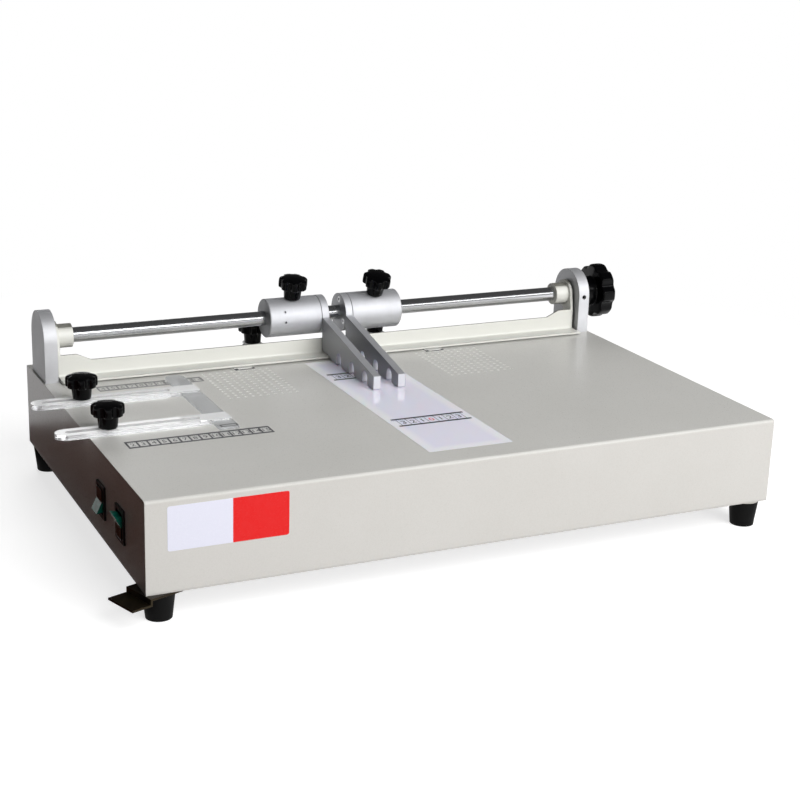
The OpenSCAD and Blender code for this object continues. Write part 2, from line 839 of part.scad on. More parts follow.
module shaft() {
    chamfer = 1;
    length = shaft_right - shaft_left;
    color([0.9, 0.9, 0.92])
    translate([shaft_left, shaft_y, shaft_z]) rotate([0, 90, 0]) rotate_extrude() polygon([
        [0, 0],
        [shaft_r - chamfer, 0],
        [shaft_r, chamfer],
        [shaft_r, length - chamfer],
        [shaft_r - chamfer, length],
        [0, length]
    ]);
}

// Star head with a crowned top, standing on Z, with scallops between the lobes
module star_head(d, h, lobes, crown) {
    r = d / 2;
    scallop_r = r * sin(180 / lobes) * 0.62;
    edge = h * 0.16;
    difference() {
        rotate_extrude() polygon([
            [0, 0],
            [r - edge, 0],
            [r, edge],
            [r, h - crown - edge],
            [r - edge, h - crown],
            [r * 0.5, h],
            [0, h]
        ]);
        for (i = [0 : lobes - 1])
            rotate((i + 0.5) * 360 / lobes) translate([r + scallop_r * 0.45, 0, -cut])
                cylinder(r = scallop_r, h = h + 2 * cut, $fn = 32);
    }
}

// Clamp knob: star head, tapered hub and stud, hub foot at the given height
module clamp_knob(x, y, z, stud_l) {
    color([0.03, 0.03, 0.03])
    translate([x, y, z]) {
        cylinder(d1 = knob_foot_d, d2 = knob_hub_d, h = knob_hub_h);
        translate([0, 0, knob_hub_h - seat_gap]) star_head(knob_d, knob_head_h, knob_lobes, 1.6);
        translate([0, 0, -stud_l]) cylinder(d = stud_d, h = stud_l + cut);
    }
}

module hand_knob() {
    bore_l = shaft_right - hand_start;
    color([0.03, 0.03, 0.03])
    translate([hand_start, shaft_y, shaft_z]) rotate([0, 90, 0]) difference() {
        union() {
            cylinder(d = hand_hub_d, h = hand_hub_l + cut);
            translate([0, 0, hand_hub_l]) star_head(hand_d, hand_head_l, hand_lobes, 4);
        }
        translate([0, 0, -cut]) cylinder(r = shaft_r + seat_gap, h = bore_l + cut + seat_gap);
    }
}

// Side outline of the rail's end lugs: a web from the rail's wall to an eye round the shaft
module rail_lug_outline() {
    polygon([
        [rail_wall_y, rail_z],
        [rail_wall_y, table_z + rail_end_h],
        [shaft_y - rail_lug_r, shaft_z],
        [shaft_y, shaft_z],
        [shaft_y, shaft_z - rail_lug_r * 0.9],
        [rail_wall_y + rail_lug_r * 0.8, rail_z]
    ]);
    translate([shaft_y, shaft_z]) circle(rail_lug_r);
}

// Raised end of the rail's wall, sloping down to the middle stretch
module rail_end_outline() {
    polygon([
        [-rail_half, rail_z],
        [-rail_half, table_z + rail_end_h],
        [-rail_half + rail_end_l, table_z + rail_end_h],
        [-rail_half + rail_end_l + rail_slope_l, table_z + rail_h],
        [-rail_half + rail_end_l + rail_slope_l, rail_z]
    ]);
}

module rail_profile() {
    translate([rail_y, rail_z]) square([rail_flange + rail_t, rail_t]);
    translate([rail_wall_y, rail_z]) square([rail_t, rail_h - rail_gap]);
    translate([rail_wall_y - rail_t, rail_z + rail_t]) difference() {
        square(rail_t);
        translate([0, rail_t]) circle(rail_t);
    }
}

sleeve_screw_d = 4;

// Folded back rail with end lugs and sleeves that hang it on the shaft
module back_rail() {
    color([0.88, 0.88, 0.84])
    difference() {
        union() {
            along_x(-rail_half, 2 * rail_half) rail_profile();
            for (m = [0, 1]) mirror([m, 0, 0]) {
                along_y(rail_wall_y, rail_t) rail_end_outline();
                along_x(-rail_half, rail_lug_t) rail_lug_outline();
                translate([0, shaft_y, shaft_z])
                    bar_x_axis(-rail_half, rail_lug_t + sleeve_l, sleeve_d / 2);
            }
        }
        translate([0, shaft_y, shaft_z]) bar_x_axis(-body_w, 2 * body_w, shaft_r + seat_gap);
        for (s = [-1, 1])
            translate([s * (rail_half - rail_lug_t - sleeve_l / 2), 0, shaft_z])
                bar_y_axis(shaft_y + shaft_r - cut, sleeve_d, sleeve_screw_d / 2 + seat_gap);
    }
}

// Grub screws behind the sleeves that pin the rail to the shaft
module sleeve_screws() {
    color([0.1, 0.1, 0.1])
    for (s = [-1, 1])
        translate([s * (rail_half - rail_lug_t - sleeve_l / 2), 0, shaft_z])
            bar_y_axis(shaft_y + shaft_r + seat_gap, (sleeve_d - shaft_d) / 2 - 0.5, sleeve_screw_d / 2);
}

// The places of the screws that join an arm to its collar
module at_arm_screws() {
    for (a = [90, 210, 330])
        translate([0, shaft_y + arm_screw_r * cos(a), shaft_z + arm_screw_r * sin(a)]) children();
}

collar_chamfer = 0.8;
collar_grub_d = 2.5;
collar_grub_out = 13.5;

// Aluminium collar: chamfered cylinder with a leaning stud hole on top
module collar(x, seat_x, clamp_x, lean) {
    color([0.78, 0.78, 0.79])
    difference() {
        translate([x, shaft_y, shaft_z]) rotate([0, 90, 0]) rotate_extrude() polygon([
            [shaft_r + run_gap, 0],
            [collar_r - collar_chamfer, 0],
            [collar_r, collar_chamfer],
            [collar_r, collar_l - collar_chamfer],
            [collar_r - collar_chamfer, collar_l],
            [shaft_r + run_gap, collar_l]
        ]);
        translate([clamp_x, shaft_y, shaft_z]) rotate([lean, 0, 0])
            cylinder(d = stud_d + 2 * run_gap, h = collar_r + cut);
        at_arm_screws() bar_x_axis(seat_x, arm_screw_l - arm_t, arm_screw_d / 2 + seat_gap);
    }
}

// The left collar also has two small grub holes in front
module left_collar() {
    color([0.78, 0.78, 0.79])
    difference() {
        collar(left_arm_x - collar_l, left_arm_x - arm_screw_l + arm_t, left_clamp_x, left_clamp_lean);
        translate([left_clamp_x - collar_grub_out, shaft_y, shaft_z]) for (a = [-3, 28])
            rotate([90 - a, 0, 0]) translate([0, 0, collar_r - 3]) cylinder(d = collar_grub_d, h = 3 + cut);
    }
}

module right_collar() {
    collar(right_arm_x + arm_t, right_arm_x + arm_t, right_clamp_x, right_clamp_lean);
}

// Front to back place of a point on an arm, from its distance in front of the shaft
function arm_y(forward) = shaft_y - forward;

arm_clear = 1.5;
arm_rise = 1.2;

// Side outline of an arm's blade: sloping top, blunt tip, chamfer over the rail
module arm_outline() {
    heel = shaft_y - rail_wall_y + arm_clear;
    flange_front = shaft_y - rail_y + arm_clear;
    flange_top = rail_gap + rail_t + arm_clear;
    polygon([
        [arm_y(arm_reach), table_z + tooth_gap],
        [arm_y(flange_front + flange_top * 1.7), table_z + tooth_gap],
        [arm_y(flange_front), table_z + flange_top],
        [arm_y(heel + 3), table_z + flange_top],
        [arm_y(heel), table_z + flange_top + 3],
        [arm_y(heel), shaft_z - collar_r * 0.2],
        [arm_y(collar_r * 0.5), shaft_z],
        [arm_y(collar_r * 0.9), shaft_z + arm_rise],
        [arm_y(arm_reach), table_z + arm_tip_h]
    ]);
}

// The round-topped slots between the comb's teeth
module comb_outline() {
    for (i = [0 : comb_slots - 1])
        translate([arm_y(arm_reach - tip_tooth_w - i * (tooth_w + comb_slot_w)), table_z]) {
            square([comb_slot_w, comb_slot_h - comb_slot_w / 2]);
            translate([comb_slot_w / 2, comb_slot_h - comb_slot_w / 2]) circle(comb_slot_w / 2);
        }
}

// The cuts that round the rear lower corner of each tooth
module tooth_corners() {
    r = tooth_corner_r;
    for (i = [0 : comb_slots - 1])
        translate([
            arm_y(arm_reach - tip_tooth_w - i * (tooth_w + comb_slot_w)) - r,
            table_z + tooth_gap
        ]) difference() {
            translate([0, -cut]) square([r + cut, r + cut]);
            translate([0, r]) circle(r);
        }
}

// Comb arm plate, with its screw heads sunk in the face at head_x
module arm(x, head_x) {
    color([0.55, 0.56, 0.58])
    difference() {
        union() {
            along_x(x, arm_t) arm_outline();
            translate([0, shaft_y, shaft_z]) bar_x_axis(x, arm_t, collar_r);
        }
        along_x(x - cut, arm_t + 2 * cut) comb_outline();
        along_x(x - cut, arm_t + 2 * cut) tooth_corners();
        translate([0, shaft_y, shaft_z]) bar_x_axis(x - cut, arm_t + 2 * cut, shaft_r + run_gap);
        at_arm_screws() bar_x_axis(x - cut, arm_t + 2 * cut, arm_screw_d / 2 + 0.2);
        at_arm_screws() bar_x_axis(head_x, arm_head_h + cut, arm_head_d / 2 + 0.2);
    }
}

module left_arm() { arm(left_arm_x, left_arm_x + arm_t - arm_head_h); }
module right_arm() { arm(right_arm_x, right_arm_x - cut); }

// Cap screws from the arm's inner face into the collar, with hexagon sockets
module arm_screws(face_x, way) {
    socket = arm_screw_d * 0.45;
    color([0.7, 0.7, 0.72])
    at_arm_screws() translate([face_x, 0, 0]) rotate([0, way * 90, 0]) difference() {
        union() {
            cylinder(d = arm_head_d, h = arm_head_h);
            cylinder(d = arm_screw_d, h = arm_screw_l - cut);
        }
        translate([0, 0, -cut]) cylinder(r = socket, h = cut + arm_head_h * 0.6, $fn = 6);
    }
}

module left_arm_screws() { arm_screws(left_arm_x + arm_t, -1); }
module right_arm_screws() { arm_screws(right_arm_x, 1); }

left_clamp_x = left_arm_x - left_clamp_in;
right_clamp_x = right_arm_x + arm_t + right_clamp_in;
clamp_stud_l = collar_r - shaft_r;
gauge_knob_z = strip_z + strip_t + slide_gap;
gauge_nut_h = 12;
gauge_stud_l = gauge_knob_z - roof_z + gauge_nut_h - 2;

// Clamp knob on a collar, leaning about the shaft's axis
module collar_knob(x, lean) {
    translate([x, shaft_y, shaft_z]) rotate([lean, 0, 0])
        clamp_knob(0, 0, collar_r + slide_gap, clamp_stud_l);
}

module left_clamp_knob() { collar_knob(left_clamp_x, left_clamp_lean); }
module right_clamp_knob() { collar_knob(right_clamp_x, right_clamp_lean); }
module side_rear_knob() { clamp_knob(side_knob_x, rail_y - strip_rear_rail, gauge_knob_z, gauge_stud_l); }
module side_front_knob() { clamp_knob(side_knob_x, rail_y - strip_front_rail, gauge_knob_z, gauge_stud_l); }
module rear_left_knob() { clamp_knob(-rear_strip_x, rear_knob_y, gauge_knob_z, gauge_stud_l); }
module rear_right_knob() { clamp_knob(rear_strip_x, rear_knob_y, gauge_knob_z, gauge_stud_l); }

// Press nuts under the cover for the gauge knobs
module gauge_nuts() {
    color([0.7, 0.7, 0.7])
    at_gauge_knobs() translate([0, 0, roof_z - gauge_nut_h]) difference() {
        union() {
            cylinder(d = stud_d * 1.5, h = gauge_nut_h);
            translate([0, 0, gauge_nut_h - 2]) cylinder(d = stud_d * 2.2, h = 2);
        }
        translate([0, 0, -cut]) cylinder(d = stud_d + 2 * run_gap, h = gauge_nut_h + 2 * cut);
    }
}

// Slotted strip along X with one round end, stepped at the other end to lap over its bar
module gauge_strip(length, lap, slot_from, slot_l) {
    difference() {
        union() {
            translate([strip_w / 2, 0, 0]) cylinder(d = strip_w, h = strip_t);
            translate([strip_w / 2, -strip_w / 2, 0]) cube([length - strip_w / 2, strip_w, strip_t]);
            translate([length - cut, -strip_w / 2, bar_t]) cube([lap + cut, strip_w, strip_t - bar_t]);
        }
        translate([slot_from + slot_l / 2, 0, -cut]) linear_extrude(strip_t + 2 * cut)
            slot_2d(slot_l, strip_slot_w);
    }
}

module side_gauge_strips() {
    length = bar_x - strip_left;
    color([0.9, 0.92, 0.94])
    for (d = [strip_front_rail, strip_rear_rail])
        translate([strip_left, rail_y - d, strip_z])
            gauge_strip(length, bar_w - 1, strip_end_wall, length - 2 * strip_end_wall);
}

// Cross bar on the table that stops the sheet's side, round at the rear
module side_gauge_bar() {
    y0 = rail_y - bar_rail_gap - bar_l;
    color([0.8, 0.82, 0.84])
    translate([bar_x, y0, strip_z]) {
        cube([bar_w, bar_l - bar_w / 2, bar_t]);
        translate([bar_w / 2, bar_l - bar_w / 2, 0]) cylinder(d = bar_w, h = bar_t);
    }
}

rear_strip_end = rear_knob_y + rear_strip_tail;
rear_strip_l = rear_strip_end - rear_bar_y - bar_w;

module rear_gauge_strips() {
    color([0.9, 0.92, 0.94])
    for (s = [-1, 1])
        translate([s * rear_strip_x, rear_strip_end, strip_z]) rotate(-90)
            gauge_strip(rear_strip_l, bar_w - 1, rear_slot_wall, rear_slot_travel + strip_slot_w);
}

// Cross bar behind the rail, with thin tongues that reach under it
module rear_gauge_bar() {
    tip_y = rail_y - tongue_reach;
    color([0.8, 0.82, 0.84]) {
        block(0, rear_bar_y + bar_w / 2, strip_z, 2 * tongue_x + tongue_w, bar_w, bar_t);
        for (s = [-1, 1])
            translate([s * tongue_x - tongue_w / 2, tip_y, strip_z])
                cube([tongue_w, rear_bar_y - tip_y + cut, tongue_t]);
    }
}

cover();
base_plate();
feet();
foot_washers();
foot_screws();
foot_nuts();
hold_down_lug();
light_panel();
light_box();
led_board();
led_driver();
left_suction_box();
right_suction_box();
air_duct();
blower_housing();
blower_motor();
blower_wheel();
mains_inlet();
switch_frames();
light_rocker();
blower_rocker();
left_end_plate();
right_end_plate();
end_plate_screws();
shaft_bushes();
bush_screw();
shaft();
hand_knob();
back_rail();
sleeve_screws();
left_collar();
left_arm();
left_arm_screws();
left_clamp_knob();
right_collar();
right_arm();
right_arm_screws();
right_clamp_knob();
gauge_nuts();
side_gauge_strips();
side_gauge_bar();
side_rear_knob();
side_front_knob();
rear_gauge_strips();
rear_gauge_bar();
rear_left_knob();
rear_right_knob();
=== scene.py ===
"""Looks of a desktop book casing machine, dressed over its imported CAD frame.

The CAD nodes keep their shapes and get procedural finishes. The knobs, the clear gauges, the printed
scales, the suction holes' rims and the blank two-tone plate are modelled here and ride on the CAD bodies.
Sizes are in millimetres in the CAD frame: X along the shaft, Y from front to back, Z up.
"""

from __future__ import annotations

import json
import logging
import math
from dataclasses import dataclass
from enum import Enum
from typing import Callable, Iterable, Sequence

import bmesh
import bpy
from mathutils import Matrix, Vector

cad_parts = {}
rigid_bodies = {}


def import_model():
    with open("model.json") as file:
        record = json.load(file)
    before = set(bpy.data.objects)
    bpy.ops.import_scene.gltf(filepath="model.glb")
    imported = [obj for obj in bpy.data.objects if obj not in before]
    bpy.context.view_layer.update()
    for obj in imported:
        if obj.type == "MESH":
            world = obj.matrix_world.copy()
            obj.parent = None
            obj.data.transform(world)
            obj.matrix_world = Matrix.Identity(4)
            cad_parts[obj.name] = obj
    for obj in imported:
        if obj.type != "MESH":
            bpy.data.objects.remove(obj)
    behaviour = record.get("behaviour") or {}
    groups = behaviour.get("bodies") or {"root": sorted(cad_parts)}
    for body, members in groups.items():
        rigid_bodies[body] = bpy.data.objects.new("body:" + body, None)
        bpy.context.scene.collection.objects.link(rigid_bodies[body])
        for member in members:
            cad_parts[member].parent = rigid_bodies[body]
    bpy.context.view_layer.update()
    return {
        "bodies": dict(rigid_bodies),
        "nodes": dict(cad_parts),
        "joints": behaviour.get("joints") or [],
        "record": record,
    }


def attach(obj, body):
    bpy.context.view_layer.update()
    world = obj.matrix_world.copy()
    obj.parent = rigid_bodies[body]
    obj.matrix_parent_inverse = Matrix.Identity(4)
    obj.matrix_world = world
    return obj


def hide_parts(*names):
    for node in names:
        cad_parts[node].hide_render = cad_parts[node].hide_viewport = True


LOG = logging.getLogger("casing_machine")
MM = 0.001

Colour = tuple[float, float, float]
Point = tuple[float, float, float]
Pair = tuple[float, float]
Area = tuple[float, float, float, float]
Piece = bpy.types.Object
Material = bpy.types.Material
Socket = bpy.types.NodeSocket

TABLE_TOP = 114.0
SHAFT_AXIS = (174.021, 156.0)
SIDE_STRIP_Y = (-26.979, 69.021)
REAR_STRIP_X = 75.0
SQUARE = 0.9
NEARLY = 0.999
TYPE_PER_DIGIT = 1.35
NO_GRAIN = (1.0, 1.0, 1.0)
WHITE = (1.0, 1.0, 1.0)
UNLIT = (0.0, 0.0, 0.0)


def tone(red: int, green: int, blue: int) -> Colour:
    """Turns a colour as seen on a screen into the linear colour that shaders use.

    Args:
        red: Red from 0 to 255.
        green: Green from 0 to 255.
        blue: Blue from 0 to 255.

    Returns:
        The linear colour.
    """
    def linear(value: int) -> float:
        """Undoes the screen's curve for one channel."""
        share = value / 255
        return share / 12.92 if share <= 0.04045 else ((share + 0.055) / 1.055) ** 2.4

    return linear(red), linear(green), linear(blue)


def darker(colour: Colour, share: float) -> Colour:
    """Takes a share of its light out of a colour."""
    return tuple(channel * (1.0 - share) for channel in colour)


class Axis(Enum):
    """The three directions of the frame."""

    X = 0
    Y = 1
    Z = 2


class Nodes:
    """A node tree and the steps that build it."""

    def __init__(self, owner: Material | bpy.types.World, coordinates: str) -> None:
        """Starts an empty tree.

        Args:
            owner: The material or world that the tree belongs to.
            coordinates: Blender's name of the coordinates that patterns read.
        """
        owner.use_nodes = True
        self.tree = owner.node_tree
        self.tree.nodes.clear()
        self.place: Socket = self.add("ShaderNodeTexCoord").outputs[coordinates]

    def add(self, kind: str, **settings: object) -> bpy.types.Node:
        """Adds a node and sets its options.

        Args:
            kind: Blender's type name of the node.
            settings: Options of the node by name.

        Returns:
            The new node.
        """
        node = self.tree.nodes.new(kind)
        for key, value in settings.items():
            setattr(node, key, value)
        return node

    def join(self, source: Socket, target: Socket) -> None:
        """Links one socket to another."""
        self.tree.links.new(source, target)

    def feed(self, target: Socket, value: object) -> None:
        """Links a socket, or sets it where the value is a plain number or colour.

        Args:
            target: Input to feed.
            value: A socket, a number or a colour.
        """
        if isinstance(value, Socket):
            self.join(value, target)
        elif isinstance(value, tuple) and len(value) == 3 and target.type == "RGBA":
            target.default_value = (*value, 1.0)
        else:
            target.default_value = value

    def math(self, operation: str, first: object, second: object = 0.0) -> Socket:
        """Adds a sum on two numbers.

        Args:
            operation: Blender's name of the sum.
            first: Socket or number.
            second: Socket or number.

        Returns:
            The result's socket.
        """
        node = self.add("ShaderNodeMath", operation=operation)
        self.feed(node.inputs[0], first)
        self.feed(node.inputs[1], second)
        return node.outputs[0]

    def part(self, axis: Axis, source: Socket | None = None) -> Socket:
        """Gives one coordinate of the place on the piece, or of another vector.

        Args:
            axis: Which coordinate.
            source: Vector to split, or None for the place.

        Returns:
            The coordinate's socket.
        """
        node = self.add("ShaderNodeSeparateXYZ")
        self.join(source or self.place, node.inputs[0])
        return node.outputs[axis.value]

    def span(self, value: Socket, low: float, high: float, out_low: float = 0.0, out_high: float = 1.0,
             smooth: bool = False) -> Socket:
        """Maps one range of a number onto another, clamped.

        Args:
            value: Socket with the number.
            low: Start of its range.
            high: End of its range.
            out_low: What the start becomes.
            out_high: What the end becomes.
            smooth: Whether the change eases in and out.

        Returns:
            The mapped number's socket.
        """
        node = self.add("ShaderNodeMapRange", interpolation_type="SMOOTHSTEP" if smooth else "LINEAR")
        for socket, number in zip(node.inputs, (value, low, high, out_low, out_high)):
            self.feed(socket, number)
        return node.outputs["Result"]

    def rays(self, *kinds: str) -> Socket:
        """Gives 1 on the named kinds of light path and 0 on the others.

        Args:
            kinds: Blender's names of the kinds.

        Returns:
            The share's socket.
        """
        path = self.add("ShaderNodeLightPath")
        share, *others = (path.outputs[kind] for kind in kinds)
        for other in others:
            share = self.math("MAXIMUM", share, other)
        return share


class Graph(Nodes):
    """Node tree of one material, with a Principled shader at its end."""

    def __init__(self, name: str) -> None:
        """Starts an empty material.

        Args:
            name: Name of the material.
        """
        self.material = bpy.data.materials.new(name)
        super().__init__(self.material, "Object")
        self.output = self.add("ShaderNodeOutputMaterial")
        self.shader = self.add("ShaderNodeBsdfPrincipled")
        self.join(self.shader.outputs["BSDF"], self.output.inputs["Surface"])

    def set(self, **values: object) -> None:
        """Feeds inputs of the shader, named with underscores for blanks."""
        for key, value in values.items():
            self.feed(self.shader.inputs[key.replace("_", " ")], value)

    def facing(self, axis: Axis) -> Socket:
        """Gives how squarely a face looks along an axis, from 0 to 1."""
        normal = self.add("ShaderNodeNewGeometry").outputs["True Normal"]
        return self.math("ABSOLUTE", self.part(axis, normal))

    def above(self, height: float, ramp: float = 0.2) -> Socket:
        """Gives 0 below a height in millimetres and 1 from a short ramp above it."""
        return self.span(self.part(Axis.Z), height * MM, (height + ramp) * MM)

    def stretched(self, scale: Point) -> Socket:
        """Gives the place with each axis multiplied, for a pattern with a grain."""
        node = self.add("ShaderNodeMapping")
        self.join(self.place, node.inputs["Vector"])
        node.inputs["Scale"].default_value = scale
        return node.outputs["Vector"]

    def noise(self, size: float, detail: float = 3.0, at: Socket | None = None) -> Socket:
        """Adds cloudy noise.

        Args:
            size: Size of its larger spots in millimetres.
            detail: How many finer layers it has.
            at: Vector to read it at, or None for the place.

        Returns:
            Its factor from 0 to 1.
        """
        node = self.add("ShaderNodeTexNoise")
        self.join(at or self.place, node.inputs["Vector"])
        node.inputs["Scale"].default_value = 1.0 / (size * MM)
        node.inputs["Detail"].default_value = detail
        node.inputs["Roughness"].default_value = 0.55
        return node.outputs["Fac"]

    def levels(self, noise: Socket, low: float = 0.0, high: float = 1.0) -> Socket:
        """Maps the middle of a noise, where most of it lies, onto a range."""
        return self.span(noise, 0.3, 0.7, low, high)

    def mix(self, share: object, first: object, second: object) -> Socket:
        """Mixes two colours.

        Args:
            share: Share of the second colour.
            first: Colour or socket.
            second: Colour or socket.

        Returns:
            The mixed colour's socket.
        """
        node = self.add("ShaderNodeMix", data_type="RGBA")
        self.feed(node.inputs[0], share)
        self.feed(node.inputs[6], first)
        self.feed(node.inputs[7], second)
        return node.outputs[2]

    def let_lamps_through(self) -> None:
        """Lets lamp light pass a clear material, which otherwise throws a full shadow."""
        clear = self.add("ShaderNodeBsdfTransparent")
        clear.inputs["Color"].default_value = (0.93, 0.94, 0.94, 1.0)
        blend = self.add("ShaderNodeMixShader")
        self.join(self.rays("Is Shadow Ray"), blend.inputs[0])
        self.join(self.shader.outputs["BSDF"], blend.inputs[1])
        self.join(clear.outputs["BSDF"], blend.inputs[2])
        self.join(blend.outputs["Shader"], self.output.inputs["Surface"])

    def relief(self, height: Socket, depth: float, rounding: float = 0.0,
               sharp: Socket | None = None) -> None:
        """Raises the surface by a pattern and softens its edges.

        Args:
            height: Pattern from 0 to 1.
            depth: Height of the pattern in millimetres.
            rounding: Radius of the softened edges in millimetres, or 0 for none.
            sharp: Mask of the places whose edges stay sharp, or None.
        """
        bump = self.add("ShaderNodeBump")
        bump.inputs["Strength"].default_value = 1.0
        bump.inputs["Distance"].default_value = depth * MM
        self.join(height, bump.inputs["Height"])
        if rounding:
            soft = self.add("ShaderNodeBevel", samples=4)
            soft.inputs["Radius"].default_value = rounding * MM
            normal = soft.outputs["Normal"]
            if sharp is not None:
                blend = self.add("ShaderNodeMix", data_type="VECTOR")
                self.join(sharp, blend.inputs[0])
                self.join(normal, blend.inputs[4])
                self.join(self.add("ShaderNodeNewGeometry").outputs["Normal"], blend.inputs[5])
                normal = blend.outputs[1]
            self.join(normal, bump.inputs["Normal"])
        self.join(bump.outputs["Normal"], self.shader.inputs["Normal"])


@dataclass(frozen=True)
class Finish:
    """A finish of the machine, which can make its own material."""

    name: str

    def material(self) -> Material:
        """Makes the material.

        Returns:
            The material.
        """
        graph = Graph(self.name)
        self.lay(graph)
        return graph.material

    def lay(self, graph: Graph) -> None:
        """Lays the finish's nodes in the graph of its material."""
        raise NotImplementedError


@dataclass(frozen=True)
class PowderCoat(Finish):
    """Sprayed and baked paint with a fine pebbled grain.

    Above a set height, upright faces within a set distance of the middle, the walls of holes among them,
    are near white: unpainted punched metal, with a painted highlight for the light they catch.
    Above another set height, level faces are painted darker: a painted shade line along the top edge.
    """

    colour: Colour
    shade: Colour
    roughness: float = 0.38
    grain: float = 1.5
    depth: float = 0.05
    rounding: float = 0.6
    bare_above: float = 0.0
    bare_within: float = 300.0
    # The near-white colour of high upright faces: unpainted metal and a painted highlight.
    bare: Colour = tone(250, 250, 246)
    cut_above: float = 0.0
    # cut is the colour of the painted shade line along the top edge.
    cut: Colour = tone(112, 111, 104)
    clouds: float = 90.0

    def lay(self, graph: Graph) -> None:
        """Lays the paint.

        Args:
            graph: Graph of the material.
        """
        pebbles = graph.noise(self.grain, 2.0)
        clouds = graph.noise(self.clouds, 2.0)
        share = graph.math("ADD", graph.span(pebbles, 0.35, 0.7, 0.0, 0.45), graph.levels(clouds, 0.0, 0.35))
        colour = graph.mix(share, self.colour, self.shade)
        rims = None
        # Painted highlight: high upright faces near the middle, such as the hole walls, turn near white.
        if self.bare_above:
            upright = graph.span(graph.facing(Axis.Z), 0.3, 0.6, 1.0, 0.0)
            off = graph.math("ABSOLUTE", graph.part(Axis.X))
            inside = graph.math("LESS_THAN", off, self.bare_within * MM)
            high = graph.math("MULTIPLY", upright, graph.above(self.bare_above))
            rims = graph.math("MULTIPLY", high, inside)
            colour = graph.mix(rims, colour, self.bare)
        # Painted shade: level faces above the set height take the darker colour cut.
        if self.cut_above:
            flat = graph.span(graph.facing(Axis.Z), 0.75, 0.85)
            edge = graph.math("MULTIPLY", flat, graph.above(self.cut_above))
            colour = graph.mix(edge, colour, self.cut)
        rough = graph.levels(pebbles, self.roughness - 0.05, self.roughness + 0.07)
        graph.set(Base_Color=colour, Roughness=rough)
        graph.relief(pebbles, self.depth, self.rounding, rims)


@dataclass(frozen=True)
class MachinedMetal(Finish):
    """Bare metal with the fine lines that a tool leaves across one axis.

    The share ends paints shade on the faces that look along X, which are darkened as if less light fell
    there, and spread is how far the lines change the roughness.
    """

    colour: Colour
    roughness: float = 0.3
    lines: Point = (1.0, 0.02, 0.02)
    pitch: float = 0.35
    depth: float = 0.004
    rounding: float = 0.5
    stain: float = 0.12
    metallic: float = 1.0
    ends: float = 0.0
    spread: float = 0.06
    clouds: float = 35.0

    def lay(self, graph: Graph) -> None:
        """Lays the metal.

        Args:
            graph: Graph of the material.
        """
        lines = graph.noise(self.pitch, 2.0, graph.stretched(self.lines))
        clouds = graph.noise(self.clouds)
        colour = graph.mix(graph.span(clouds, 0.35, 0.7), self.colour, darker(self.colour, self.stain))
        # Painted shade: the faces that look along X are darkened by the share ends.
        if self.ends:
            squarely = graph.span(graph.facing(Axis.X), 0.6, 0.9)
            colour = graph.mix(squarely, colour, darker(self.colour, self.ends))
        grooves = graph.levels(lines, self.roughness - self.spread, self.roughness + self.spread)
        rough = graph.math("ADD", grooves, graph.span(clouds, 0.4, 0.7, 0.0, self.spread))
        graph.set(Base_Color=colour, Metallic=self.metallic, Roughness=rough)
        if self.depth:
            graph.relief(lines, self.depth, self.rounding)


@dataclass(frozen=True)
class MouldedPlastic(Finish):
    """Moulded plastic or rubber, with faint flow clouds and a skin grain."""

    colour: Colour
    roughness: float = 0.3
    grain: float = 0.8
    depth: float = 0.01
    rounding: float = 0.4
    rub: Colour = (0.05, 0.05, 0.05)
    gloss: float = 0.5
    clouds: float = 14.0

    def lay(self, graph: Graph) -> None:
        """Lays the plastic.

        Args:
            graph: Graph of the material.
        """
        skin = graph.noise(self.grain, 2.0)
        clouds = graph.noise(self.clouds)
        colour = graph.mix(graph.span(clouds, 0.45, 0.75, 0.0, 0.25), self.colour, self.rub)
        rough = graph.levels(clouds, self.roughness - 0.04, self.roughness + 0.08)
        graph.set(Base_Color=colour, Specular_IOR_Level=self.gloss, Roughness=rough)
        graph.relief(skin, self.depth, self.rounding)


@dataclass(frozen=True)
class ThreadedSteel(Finish):
    """Plated steel with the ridges of a screw thread round an upright axis, and painted shade in its grooves.
    """

    colour: Colour
    pitch: float = 1.0

    def lay(self, graph: Graph) -> None:
        """Lays the thread.

        Args:
            graph: Graph of the material.
        """
        turn = graph.math("MULTIPLY", graph.part(Axis.Z), 2.0 * math.pi / (self.pitch * MM))
        ridges = graph.span(graph.math("SINE", turn), -1.0, 1.0)
        # Painted shade: the thread's grooves are darker than its crests.
        crests = graph.math("MULTIPLY", ridges, 0.5)
        colour = graph.mix(crests, darker(self.colour, 0.4), self.colour)
        graph.set(Base_Color=colour, Metallic=1.0, Roughness=graph.levels(graph.noise(2.0), 0.25, 0.4))
        graph.relief(ridges, self.pitch * 0.35)


@dataclass(frozen=True)
class PassivatedZinc(Finish):
    """Yellow-passivated zinc plate, olive with a shimmer of other hues."""

    olive: Colour
    gold: Colour
    mauve: Colour
    roughness: float = 0.36

    def lay(self, graph: Graph) -> None:
        """Lays the plating.

        Args:
            graph: Graph of the material.
        """
        clouds = graph.noise(11.0, 4.0)
        drift = graph.noise(27.0, 2.0)
        colour = graph.mix(graph.span(clouds, 0.35, 0.7, 0.0, 0.8), self.olive, self.gold)
        colour = graph.mix(graph.span(drift, 0.5, 0.8, 0.0, 0.6), colour, self.mauve)
        rough = graph.levels(clouds, self.roughness - 0.06, self.roughness + 0.1)
        graph.set(Base_Color=colour, Metallic=0.85, Roughness=rough)
        graph.relief(graph.noise(0.6), 0.006, 0.4)


